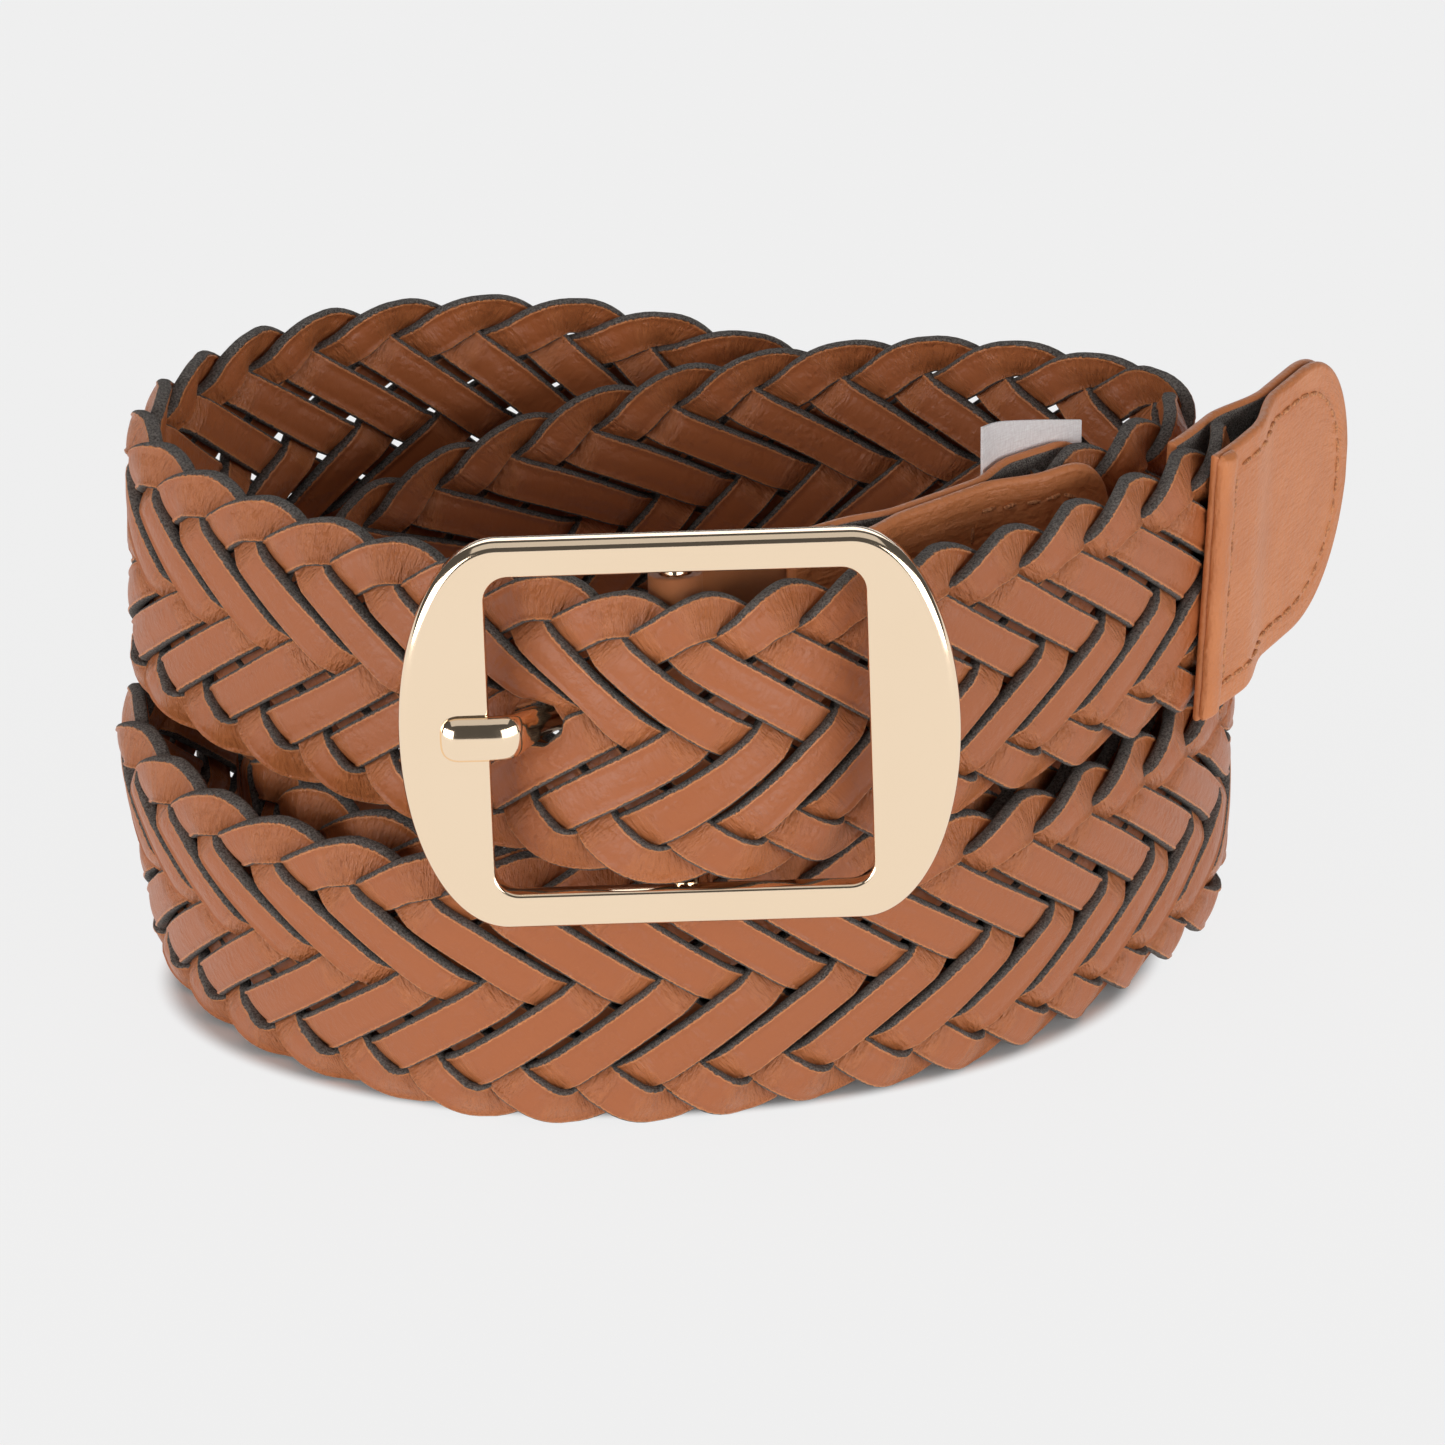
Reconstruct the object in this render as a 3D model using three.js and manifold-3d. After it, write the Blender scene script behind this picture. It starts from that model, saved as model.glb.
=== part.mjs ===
// A woven leather belt, fastened and coiled on its edge: nine flat strands plaited
// together, a folded tab that holds a centre-bar buckle, and a stitched tip.
// Millimetres, +Z up, the buckle facing -Y, origin on the floor under the middle.
import * as THREE from 'three';
import { mergeVertices } from 'three/addons/utils/BufferGeometryUtils.js';
import Module from 'manifold-3d';

const wasm = await Module();
wasm.setup();

// ---- Driving dimensions -------------------------------------------------------
const BELT_WIDTH = 34.4;        // across the strap
const GAP = 0.3;                // clearance kept between neighbouring solids
const STACK_GAP = 0.4;          // clearance between one turn and the turn it stands on
const STRAND_COUNT = 9;
const PITCH = 10.15;            // between neighbouring scallops along one edge
const STRAND_WIDTH = 4.1;
const STRAND_THICK = 1.4;
const STRAND_CLEAR = 0.35;      // half the gap between two strands that cross
const APEX_DROP = 0.3;          // how far a scallop is rounded off
const TURN_CLEAR = 1.1;         // between two turns that lie side by side
const LEATHER = 1.3;            // thickness of the tab, wrap and tip leather
const TAB_REAR_LENGTH = 67;     // from the bar to the end of the rear ply
const TAB_FRONT_LENGTH = 64;
const TAB_START = 15;           // from the bar to where the plies begin
const WRAP_LENGTH = 25;         // leaf of the wrap that folds round the bar
const BRAID_INSERT = 9;         // length of braid that is sewn inside the tab and the tip
const WRAP_HALF_GAP = 0.2;      // half the gap between the wrap's two leaves
const TIP_LENGTH = 44;
const TIP_ROUND = 15;           // length of the tip's rounded end
const BAND_WIDTH = 3.2;         // raised band at the mouth of the tip
const BAND_THICK = 1.0;
const BAR_RADIUS = 1.5;
const WINDOW_HALF_WIDTH = 21.6;
const WINDOW_MARGIN = 1.6;      // free height above and below the strap in the window
const WINDOW_CORNER = 2.8;
const SIDE_BAR = 10.3;          // widest part of the frame, beside the window
const RAIL = 4.2;               // above and below the window
const FRAME_THICK = 3.0;
const FRAME_BEVEL = 0.6;
const LUG_HALF_WIDTH = 2.7;
const LUG_BORE = 1.3;           // depth of the bar's hole in a lug
const LUG_WALL = 0.8;
const SLOT_ROOM = 0.9;          // in the wrap, above and below the prong
const SEAT_DEPTH = 1.1;         // of the prong's seat in the frame
const SEAT_ROOM = 0.5;          // round the prong's tip
const PRONG_THICK = 2.4;
const PRONG_TIP_WIDTH = 5.2;
const PRONG_ROOT_WIDTH = 3.4;
const PRONG_REACH = 27.2;       // from the bar to the prong's tip
const LABEL_THICK = 0.4;
const LABEL_LENGTH = 17;
const LABEL_HEIGHT = 12;
const LABEL_PROUD = 5.2;        // how far its first corner stands above the tab's edge
const LABEL_SLOPE = 0.24;       // fall of its upper edge along the strap
const LABEL_INSET = 1;          // from its last corner to the end of the rear ply

// ---- What follows from them ---------------------------------------------------
const HALF_WIDTH = BELT_WIDTH / 2;
const CROSS_LIFT = STRAND_THICK / 2 + STRAND_CLEAR;    // of a strand's middle from the mid plane
const BRAID_HALF_THICK = CROSS_LIFT + STRAND_THICK / 2;
const TURN_STEP = 2 * BRAID_HALF_THICK + TURN_CLEAR;
const LEVEL_RISE = BELT_WIDTH + STACK_GAP;
const SWING = HALF_WIDTH - STRAND_WIDTH / 2 + APEX_DROP;
const HALF_RUN = STRAND_COUNT * PITCH / 2;
const STRAND_ANGLE = Math.atan(2 * SWING / HALF_RUN);
const WINDOW_HALF_HEIGHT = HALF_WIDTH + WINDOW_MARGIN;
const FRAME_HALF_HEIGHT = WINDOW_HALF_HEIGHT + RAIL;
const FRAME_HALF_WIDTH = WINDOW_HALF_WIDTH + SIDE_BAR;

const deg = THREE.MathUtils.degToRad;
const vec = (x, y, z) => new THREE.Vector3(x, y, z);

const leatherTan = new THREE.MeshStandardMaterial({ color: 0xb5714a, roughness: 0.5, metalness: 0 });
const leatherTab = new THREE.MeshStandardMaterial({ color: 0xa8693f, roughness: 0.5, metalness: 0 });
const gold = new THREE.MeshStandardMaterial({ color: 0xf0d9b8, roughness: 0.12, metalness: 1 });
const labelWhite = new THREE.MeshStandardMaterial({ color: 0xf2f2f2, roughness: 0.7, metalness: 0 });

// ---- Route of the strap -------------------------------------------------------
// Each stop is [x, y, level, lean, inset]. Level 0 stands on the floor and level 1 on
// the turn below. Lean tips the strap's upper edge outward, in degrees. Inset counts
// the turns that lie between this one and the outermost one at the same place.
const BUCKLE_FRONT = -44.6;     // Y of the strap's middle in front of the bar
const STRAP_OVER_WRAP = 0.55;   // between the wrap's bend and the strap that crosses it
const BAR_TO_STRAP = BAR_RADIUS + GAP + LEATHER + BRAID_HALF_THICK + STRAP_OVER_WRAP;
const BAR_SETBACK = BAR_TO_STRAP - 1;   // bar behind the middle of the frame
const ROUTE = [
  [-4.9, BUCKLE_FRONT + BAR_TO_STRAP, 1.018, -6.3, 0], [5, -30.4, 0.998, -4, 0], [20, -17.3, 0.994, 0, 0],
  [35, -4.2, 0.998, 0, 0], [45.5, 4.6, 1, 0, 0], [52, 12.5, 1, 0, 0], [54.3, 20, 1, 0, 0],
  [51.6, 27.8, 0.995, 0, 0], [45, 33, 0.985, 0, 0], [36, 37.6, 0.97, 0, 0], [25, 41.6, 0.94, 0, 0],
  [12, 44.2, 0.89, 0, 0], [0, 44.3, 0.825, 0, 0], [-12, 42.6, 0.755, 0, 0],
  [-24, 39.2, 0.67, 0, 0], [-35, 34.6, 0.58, 0, 0], [-45, 28, 0.47, 0, 0],
  [-52, 19, 0.34, 0, 0], [-55.4, 8.5, 0.2, 0, 0], [-55, -1.5, 0.085, 0, 0],
  [-52, -10.5, 0.012, 0, 0], [-46.5, -18.5, 0, 2, 0], [-38.5, -25.4, 0, 4, 0],
  // inner turn on the floor, against the outer one
  [-26.5, -37.2, 0, 2, 1], [-16, -37.4, 0, -1, 1], [-5.2, -36.3, 0, -1, 1], [4.5, -34.1, 0, 1, 1],
  [14.3, -31.0, 0, 4, 1], [25.1, -26.2, 0, 5, 1], [34.3, -19.6, 0, 5, 1], [42.1, -11.3, 0, 5, 1],
  [48.4, -2.5, 0, 5, 1], [54, 7.8, 0, 4, 1], [57.2, 18.5, 0, 2, 1], [56, 30, 0, 0, 1],
  [49, 40.6, 0, 0, 1], [37.5, 48, 0, 0, 1], [24, 51.9, 0, 0, 1], [10, 53.6, 0, 0, 1],
  [-4, 54, 0, 0, 1], [-18, 53.2, 0, 2, 1],
  // round to the outer turn at the front
  [-32, 47, 0, 4, 0], [-46, 41.4, 0, 6, 0], [-57.5, 32, 0, 8, 0], [-65, 20.5, 0, 9, 0],
  [-68.2, 8, 0, 9, 0], [-65.4, -3.6, 0, 9, 0], [-60.6, -13, 0, 9, 0], [-55.6, -20, 0, 9, 0],
  [-49.2, -26.1, 0, 9, 0], [-41.6, -31.3, 0, 8, 0], [-34.2, -35.1, 0, 6, 0],
  [-25.7, -37.2, 0, 2, 0], [-16, -37.4, 0, -1, 0], [-5.2, -36.3, 0, -1, 0], [4.5, -34.1, 0, 1, 0],
  [14.3, -31.0, 0, 4, 0], [25.1, -26.2, 0, 5, 0], [34.3, -19.6, 0, 5, 0], [42.1, -11.3, 0, 5, 0],
  [48.6, -2.5, 0, 5, 0], [54.6, 7.8, 0, 4, 0], [58.6, 18.5, 0, 2, 0], [59, 30, 0.13, 0, 0],
  [51.6, 41.6, 0.28, 0, 0], [39.4, 49.6, 0.45, 0, 0], [25, 53.4, 0.61, 0, 0], [10, 54.8, 0.74, 0, 0],
  [-4, 55, 0.85, 0, 0], [-18, 54.2, 0.935, 0, 0], [-31, 51.8, 0.985, 0, 0],
  // upper outer turn, then the stretch through the buckle
  [-43, 48, 1, 0, 0], [-54, 41.4, 1, 0, 0], [-62.5, 32, 1, 0, 0], [-67.6, 20, 1, 0, 0],
  [-68.2, 8, 1, 0, 0], [-63.8, -2, 1, 0, 0], [-57, -10.4, 1, 0, 0], [-49.6, -17.6, 1, 0, 0],
  [-41.6, -23.9, 1, -1, 0], [-33.6, -29.6, 1, -3, 0], [-25.8, -34.8, 1, -5, 0],
  [-18.4, -39.7, 1, -7, 0], [-11.4, -43.3, 1, -7, 0], [-4.9, BUCKLE_FRONT, 1, -7, 0],
  [1.8, -43.6, 1, -7, 0], [9, -40.2, 1, -5, 0], [17, -34.8, 1, -2, 0], [25.6, -28.2, 1, 1, 0],
  [34.2, -21.2, 1, 3, 0], [42, -13.9, 1, 3, 0], [49, -5.8, 1, 3, 0], [55.2, 2.8, 1, 3, 0],
  [60.4, 11.8, 1, 2, 0], [65.2, 21.2, 1, 2, 0], [70, 30.6, 1, 2, 0], [74.8, 40, 1, 2, 0],
];

function insetStops(route) {
  return route.map(([x, y, level, lean, inset], i) => {
    const before = route[Math.max(i - 1, 0)];
    const after = route[Math.min(i + 1, route.length - 1)];
    const along = vec(after[0] - before[0], after[1] - before[1], 0).normalize();
    const inward = vec(-along.y, along.x, 0);
    const stop = vec(x, y, HALF_WIDTH + level * LEVEL_RISE);
    return { point: stop.addScaledVector(inward, inset * TURN_STEP), lean };
  });
}
const stops = insetStops(ROUTE);
const route = new THREE.CatmullRomCurve3(stops.map((stop) => stop.point), false, 'centripetal');
route.arcLengthDivisions = 4000;
const ROUTE_LENGTH = route.getLength();

// Directions of the strap at a distance along it: along, up across the width, outward.
function strapFrame(distance) {
  const u = THREE.MathUtils.clamp(distance / ROUTE_LENGTH, 0, 1);
  const t = route.getUtoTmapping(u);
  const along = route.getTangent(t);
  const place = t * (stops.length - 1);
  const i = Math.min(Math.floor(place), stops.length - 2);
  const blend = THREE.MathUtils.smoothstep(place - i, 0, 1);
  const lean = deg(THREE.MathUtils.lerp(stops[i].lean, stops[i + 1].lean, blend));
  const side = vec(along.y, -along.x, 0).normalize();
  const rise = side.clone().cross(along);
  const up = rise.clone().multiplyScalar(Math.cos(lean)).addScaledVector(side, Math.sin(lean));
  const out = side.multiplyScalar(Math.cos(lean)).addScaledVector(rise, -Math.sin(lean));
  const centre = route.getPoint(t).addScaledVector(along, distance - u * ROUTE_LENGTH);
  return { centre, along, up, out };
}

// A point of the strap: distance along it, height on its width, offset outward.
function strapPoint(distance, height, offset) {
  const f = strapFrame(distance);
  return f.centre.addScaledVector(f.up, height).addScaledVector(f.out, offset);
}

// ---- Solids -------------------------------------------------------------------
function closedMesh(points, triangles) {
  const geometry = new THREE.BufferGeometry();
  const numbers = points.flatMap((point) => point.toArray());
  geometry.setAttribute('position', new THREE.Float32BufferAttribute(numbers, 3));
  let volume = 0;
  for (const [a, b, c] of triangles) {
    volume += points[a].dot(points[b].clone().cross(points[c]));
  }
  const facing = volume > 0 ? triangles : triangles.map(([a, b, c]) => [a, c, b]);
  geometry.setIndex(facing.flat());
  geometry.computeVertexNormals();
  return geometry;
}

// Skin a row of rings that all have the same number of points, with flat ends.
function loft(rings) {
  const sides = rings[0].length;
  const triangles = [];
  for (let i = 0; i + 1 < rings.length; i += 1) {
    for (let j = 0; j < sides; j += 1) {
      const a = i * sides + j;
      const b = i * sides + (j + 1) % sides;
      triangles.push([a, b, b + sides], [a, b + sides, a + sides]);
    }
  }
  const last = (rings.length - 1) * sides;
  for (let j = 1; j + 1 < sides; j += 1) {
    triangles.push([0, j + 1, j], [last, last + j, last + j + 1]);
  }
  return closedMesh(rings.flat(), triangles);
}

function toSolid(geometry) {
  const bare = geometry.clone();
  bare.deleteAttribute('normal');
  bare.deleteAttribute('uv');
  const merged = mergeVertices(bare, 1e-4);
  const vertProperties = new Float32Array(merged.attributes.position.array);
  const triVerts = new Uint32Array(merged.index.array);
  return new wasm.Manifold(new wasm.Mesh({ numProp: 3, vertProperties, triVerts }));
}

function toGeometry(solid) {
  const mesh = solid.getMesh();
  const geometry = new THREE.BufferGeometry();
  geometry.setAttribute('position', new THREE.BufferAttribute(mesh.vertProperties, 3));
  geometry.setIndex(new THREE.BufferAttribute(mesh.triVerts, 1));
  geometry.computeVertexNormals();
  return geometry;
}

function boxBetween(low, high) {
  const size = high.clone().sub(low);
  const middle = low.clone().add(high).multiplyScalar(0.5);
  return new THREE.BoxGeometry(size.x, size.y, size.z).translate(middle.x, middle.y, middle.z);
}

const belt = new THREE.Group();

function addPiece(name, geometry, material, parent = belt) {
  const mesh = new THREE.Mesh(geometry, material.clone());
  mesh.name = name;
  parent.add(mesh);
}

// ---- Where the pieces start and end along the strap ---------------------------
const BRAID_START = TAB_FRONT_LENGTH - BRAID_INSERT;
const TIP_START = ROUTE_LENGTH - TIP_LENGTH;
const BRAID_END = TIP_START + BRAID_INSERT;

// ---- The eye that the prong passes through ------------------------------------
// The strands part round it, so a point close to it moves out to its rim. It opens
// from one of the plait's own openings, which lie half a pitch from its crossings.
const EYE_ROW = 5;
const EYE_PLACE = 16.875;       // from the middle of the buckle to that opening
const EYE_HALF_LENGTH = 4;
const EYE_HALF_HEIGHT = PRONG_ROOT_WIDTH / 2 + 1.4;
const EYE_REACH = 2.4;
const EYE_LIFT = 1.7;           // across the strap, from the opening to the prong
const BUCKLE_STOP = 84;         // the stop of the route that lies in front of the bar
const BUCKLE_DISTANCE = distanceOfStop(BUCKLE_STOP);
const EYE_HEIGHT = SWING * (1 - 2 * EYE_ROW / STRAND_COUNT);
const EYE_DISTANCE = BUCKLE_DISTANCE - EYE_PLACE;
const BRAID_PHASE = (EYE_DISTANCE - (EYE_ROW + 1) * PITCH / 2) % PITCH;

function distanceOfStop(stop) {
  const lengths = route.getLengths();
  return lengths[Math.round(stop / (stops.length - 1) * (lengths.length - 1))];
}

function partStrands(distance, height) {
  const x = (distance - EYE_DISTANCE) / EYE_HALF_LENGTH;
  const y = (height - EYE_HEIGHT) / EYE_HALF_HEIGHT;
  const r = Math.hypot(x, y);
  const fade = Math.exp(-((r / EYE_REACH) ** 2));
  const scale = r > 1e-6 ? (r + (Math.sqrt(r * r + 1) - r) * fade) / r : 1;
  return [
    EYE_DISTANCE + x * scale * EYE_HALF_LENGTH,
    EYE_HEIGHT + y * scale * EYE_HALF_HEIGHT + EYE_LIFT * fade,
  ];
}

// ---- Braid --------------------------------------------------------------------
// Between two scallops a strand meets the eight others: it goes under one, over three,
// under three and over one. Stations are counted in crossings from the last scallop.
const FLAT_END = STRAND_WIDTH / 2 / (PITCH * Math.sin(STRAND_ANGLE));
const RUN_STATIONS = [
  [0, 0, 'scallop'], [0.6, -1, 'square'],
  [1 + FLAT_END, -1, 'skew'], [2 - FLAT_END, 1, 'skew'],
  [4 + FLAT_END, 1, 'skew'], [5 - FLAT_END, -1, 'skew'],
  [7 + FLAT_END, -1, 'skew'], [8 - FLAT_END, 1, 'skew'],
  [8.4, 1, 'square'],
];

function edgeVector(kind, falling) {
  const across = falling ? 1 : -1;
  if (kind === 'scallop') return [0, STRAND_WIDTH / 2];
  if (kind === 'square') {
    return [across * Math.sin(STRAND_ANGLE) * STRAND_WIDTH / 2, Math.cos(STRAND_ANGLE) * STRAND_WIDTH / 2];
  }
  const reach = STRAND_WIDTH / 2 / Math.sin(2 * STRAND_ANGLE);
  return [across * Math.cos(STRAND_ANGLE) * reach, Math.sin(STRAND_ANGLE) * reach];
}

function strandStations(index) {
  const stations = [];
  const firstRun = Math.floor((BRAID_START - BRAID_PHASE - index * PITCH) / HALF_RUN) - 1;
  const lastRun = Math.ceil((BRAID_END - BRAID_PHASE - index * PITCH) / HALF_RUN) + 1;
  for (let run = firstRun; run <= lastRun; run += 1) {
    const falling = run % 2 === 0;
    const scallop = BRAID_PHASE + index * PITCH + run * HALF_RUN;
    for (const [count, level, kind] of RUN_STATIONS) {
      const drop = kind === 'scallop' ? APEX_DROP : 0;
      const height = SWING * (1 - 2 * count / STRAND_COUNT) - drop;
      stations.push({
        distance: scallop + count * PITCH / 2,
        height: falling ? height : -height,
        level,
        edge: edgeVector(kind, falling),
      });
    }
  }
  return stations;
}

function mixStations(a, b, blend) {
  const mix = (from, to) => THREE.MathUtils.lerp(from, to, blend);
  return {
    distance: mix(a.distance, b.distance),
    height: mix(a.height, b.height),
    level: mix(a.level, b.level),
    edge: [mix(a.edge[0], b.edge[0]), mix(a.edge[1], b.edge[1])],
  };
}

// Cut the row of stations to the braid's length and refine it where the strap turns.
const EYE_STEP = 0.9;
const SAG = 0.26;
const TIGHT_SAG = 0.05;
const TIGHT_TURN = 1 / 36;
function trimmedStations(index) {
  const row = strandStations(index);
  const out = [];
  for (let i = 0; i + 1 < row.length; i += 1) {
    const a = row[i];
    const b = row[i + 1];
    const span = b.distance - a.distance;
    const from = Math.max((BRAID_START - a.distance) / span, 0);
    const to = Math.min((BRAID_END - a.distance) / span, 1);
    if (from >= to) continue;
    const middle = (a.distance + b.distance) / 2;
    const turn = strapFrame(middle + 3).along.angleTo(strapFrame(middle - 3).along) / 6;
    const fromEye = Math.hypot(middle - EYE_DISTANCE, (a.height + b.height) / 2 - EYE_HEIGHT);
    const sag = turn > TIGHT_TURN ? TIGHT_SAG : SAG;
    const nearEye = fromEye < span / 2 + EYE_HALF_LENGTH;
    const finest = nearEye ? EYE_STEP : Math.sqrt(8 * sag / Math.max(turn, 1e-4));
    const pieces = Math.max(1, Math.ceil(span / finest));
    for (let j = 0; j < pieces; j += 1) {
      out.push(mixStations(a, b, from + (to - from) * j / pieces));
    }
    if (to < 1 || i + 2 === row.length) out.push(mixStations(a, b, to));
  }
  return out;
}

function strandGeometry(index) {
  const rings = trimmedStations(index).map(({ distance, height, level, edge }) => {
    const [topDistance, topHeight] = partStrands(distance + edge[0], height + edge[1]);
    const [lowDistance, lowHeight] = partStrands(distance - edge[0], height - edge[1]);
    const outer = level * CROSS_LIFT + STRAND_THICK / 2;
    const inner = level * CROSS_LIFT - STRAND_THICK / 2;
    return [
      strapPoint(topDistance, topHeight, outer), strapPoint(lowDistance, lowHeight, outer),
      strapPoint(lowDistance, lowHeight, inner), strapPoint(topDistance, topHeight, inner),
    ];
  });
  return loft(rings);
}

for (let index = 0; index < STRAND_COUNT; index += 1) {
  addPiece(`braid_strand_${index + 1}`, strandGeometry(index), leatherTan);
}

// ---- Leather plies ------------------------------------------------------------
// A ply follows the strap: halfHeight and inner give its outline and its inner face.
function plyGeometry(distances, halfHeight, inner, thick, face) {
  return loft(distances.map((distance) => {
    const h = halfHeight(distance);
    const near = face * inner(distance);
    const far = face * (inner(distance) + thick);
    return [
      strapPoint(distance, h, far), strapPoint(distance, -h, far),
      strapPoint(distance, -h, near), strapPoint(distance, h, near),
    ];
  }));
}

function steps(from, to, count) {
  return Array.from({ length: count + 1 }, (_, i) => from + (to - from) * i / count);
}

// Half the height of an outline that is full up to a rounded end.
function roundedEnd(end, roundLength, blunt) {
  return (distance) => {
    const into = Math.max(0, distance - (end - roundLength)) / roundLength;
    return HALF_WIDTH * Math.max(Math.sqrt(Math.max(0, 1 - into ** 2.2)), blunt);
  };
}

const PLY_APART = WRAP_HALF_GAP + LEATHER + GAP;       // inner face of a ply over the wrap's leaf
const PLY_CLOSED = GAP;
const PLY_SLACK = 0.3;          // for the strands' waviness under a ply
const PLY_BRAID = BRAID_HALF_THICK + GAP + PLY_SLACK;
function tabInner(distance) {
  const closing = THREE.MathUtils.smoothstep(distance, WRAP_LENGTH + 1, WRAP_LENGTH + 9);
  const opening = THREE.MathUtils.smoothstep(distance, BRAID_START - 9, BRAID_START - 1);
  return THREE.MathUtils.lerp(THREE.MathUtils.lerp(PLY_APART, PLY_CLOSED, closing), PLY_BRAID, opening);
}

const TAB_ROUND = 7;
const TAB_BLUNT = 0.45;         // share of the width left at the end of the tab
const TIP_BLUNT = 0.12;
function tabPly(length, face) {
  const straight = steps(TAB_START, length - TAB_ROUND, 14);
  const round = steps(length - TAB_ROUND, length, 5).slice(1);
  return plyGeometry([...straight, ...round], roundedEnd(length, TAB_ROUND, TAB_BLUNT), tabInner, LEATHER, face);
}
addPiece('tab_front_ply', tabPly(TAB_FRONT_LENGTH, 1), leatherTab);
addPiece('tab_rear_ply', tabPly(TAB_REAR_LENGTH, -1), leatherTab);

function tipInner(distance) {
  const closing = THREE.MathUtils.smoothstep(distance, BRAID_END + 1, BRAID_END + 10);
  return THREE.MathUtils.lerp(PLY_BRAID, PLY_CLOSED, closing);
}
const tipDistances = [
  ...steps(TIP_START, ROUTE_LENGTH - TIP_ROUND, 9),
  ...steps(ROUTE_LENGTH - TIP_ROUND, ROUTE_LENGTH - 0.4, 7).slice(1),
];
for (const [name, face] of [['tip_front_ply', 1], ['tip_rear_ply', -1]]) {
  const outline = roundedEnd(ROUTE_LENGTH, TIP_ROUND, TIP_BLUNT);
  addPiece(name, plyGeometry(tipDistances, outline, tipInner, LEATHER, face), leatherTab);
}
const bandInner = () => PLY_BRAID + LEATHER + GAP;
const bandDistances = steps(TIP_START, TIP_START + BAND_WIDTH, 2);
const bandGeometry = plyGeometry(bandDistances, () => HALF_WIDTH, bandInner, BAND_THICK, 1);
addPiece('tip_edge_band', bandGeometry, leatherTab);

// ---- Wrap that folds round the buckle's bar ------------------------------------
const EYE_OF_WRAP = BAR_RADIUS + GAP;
const PRONG_RING_RADIUS = EYE_OF_WRAP + PRONG_THICK / 2;
const SLOT_HALF_HEIGHT = PRONG_ROOT_WIDTH / 2 + SLOT_ROOM;
const WRAP_CLOSES = 6;          // from the bar to where the two leaves meet
const WRAP_OPEN = Math.PI / 4;
function wrapProfile() {
  const legs = steps(WRAP_LENGTH, WRAP_CLOSES, 12);
  const outerRadius = EYE_OF_WRAP + LEATHER;
  const leaf = (face) => legs.map((s) => [s, face * WRAP_HALF_GAP, s, face * (WRAP_HALF_GAP + LEATHER)]);
  const bend = steps(WRAP_OPEN, 2 * Math.PI - WRAP_OPEN, 12).map((angle) => {
    const c = Math.cos(angle);
    const s = Math.sin(angle);
    return [EYE_OF_WRAP * c, EYE_OF_WRAP * s, outerRadius * c, outerRadius * s];
  });
  return [...leaf(1), ...bend, ...leaf(-1).toReversed()];
}
const wrapSolid = toSolid(loft(wrapProfile().map(([s1, w1, s2, w2]) => [
  strapPoint(s2, HALF_WIDTH, w2), strapPoint(s2, -HALF_WIDTH, w2),
  strapPoint(s1, -HALF_WIDTH, w1), strapPoint(s1, HALF_WIDTH, w1),
])));

// ---- Buckle --------------------------------------------------------------------
const barFrame = strapFrame(0);
const buckle = new THREE.Group();
const buckleRight = barFrame.up.clone().cross(vec(0, -1, 0)).normalize();
const buckleFront = buckleRight.clone().cross(barFrame.up);
buckle.applyMatrix4(new THREE.Matrix4().makeBasis(buckleRight, barFrame.up, buckleFront));
buckle.position.copy(barFrame.centre);
belt.add(buckle);
buckle.updateMatrix();
const toStrap = buckle.matrix;

const slotReach = PRONG_RING_RADIUS + LEATHER;
const slot = boxBetween(vec(-slotReach, -SLOT_HALF_HEIGHT, -slotReach),
  vec(PRONG_RING_RADIUS + GAP, SLOT_HALF_HEIGHT, slotReach));
addPiece('bar_wrap', toGeometry(wrapSolid.subtract(toSolid(slot.applyMatrix4(toStrap)))), leatherTab);

const RIM_FLAT = 20;            // half length of the straight top and bottom of the rim
const RIM_SHOULDER = 7.2;       // pull of the rim's curve where the straight ends
const RIM_BELLY = 12;           // pull of the rim's curve at its widest
function frameShape() {
  const w = FRAME_HALF_WIDTH - FRAME_BEVEL;
  const h = FRAME_HALF_HEIGHT - FRAME_BEVEL;
  const pull = RIM_FLAT + RIM_SHOULDER;
  const shape = new THREE.Shape();
  shape.moveTo(RIM_FLAT, h);
  shape.lineTo(-RIM_FLAT, h);
  shape.bezierCurveTo(-pull, h, -w, RIM_BELLY, -w, 0);
  shape.bezierCurveTo(-w, -RIM_BELLY, -pull, -h, -RIM_FLAT, -h);
  shape.lineTo(RIM_FLAT, -h);
  shape.bezierCurveTo(pull, -h, w, -RIM_BELLY, w, 0);
  shape.bezierCurveTo(w, RIM_BELLY, pull, h, RIM_FLAT, h);
  const hole = new THREE.Path();
  const x = WINDOW_HALF_WIDTH + FRAME_BEVEL - WINDOW_CORNER;
  const y = WINDOW_HALF_HEIGHT + FRAME_BEVEL - WINDOW_CORNER;
  hole.absarc(-x, y, WINDOW_CORNER, Math.PI / 2, Math.PI, false);
  hole.absarc(-x, -y, WINDOW_CORNER, Math.PI, 1.5 * Math.PI, false);
  hole.absarc(x, -y, WINDOW_CORNER, 1.5 * Math.PI, 2 * Math.PI, false);
  hole.absarc(x, y, WINDOW_CORNER, 0, Math.PI / 2, false);
  shape.holes.push(hole);
  return shape;
}

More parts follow.
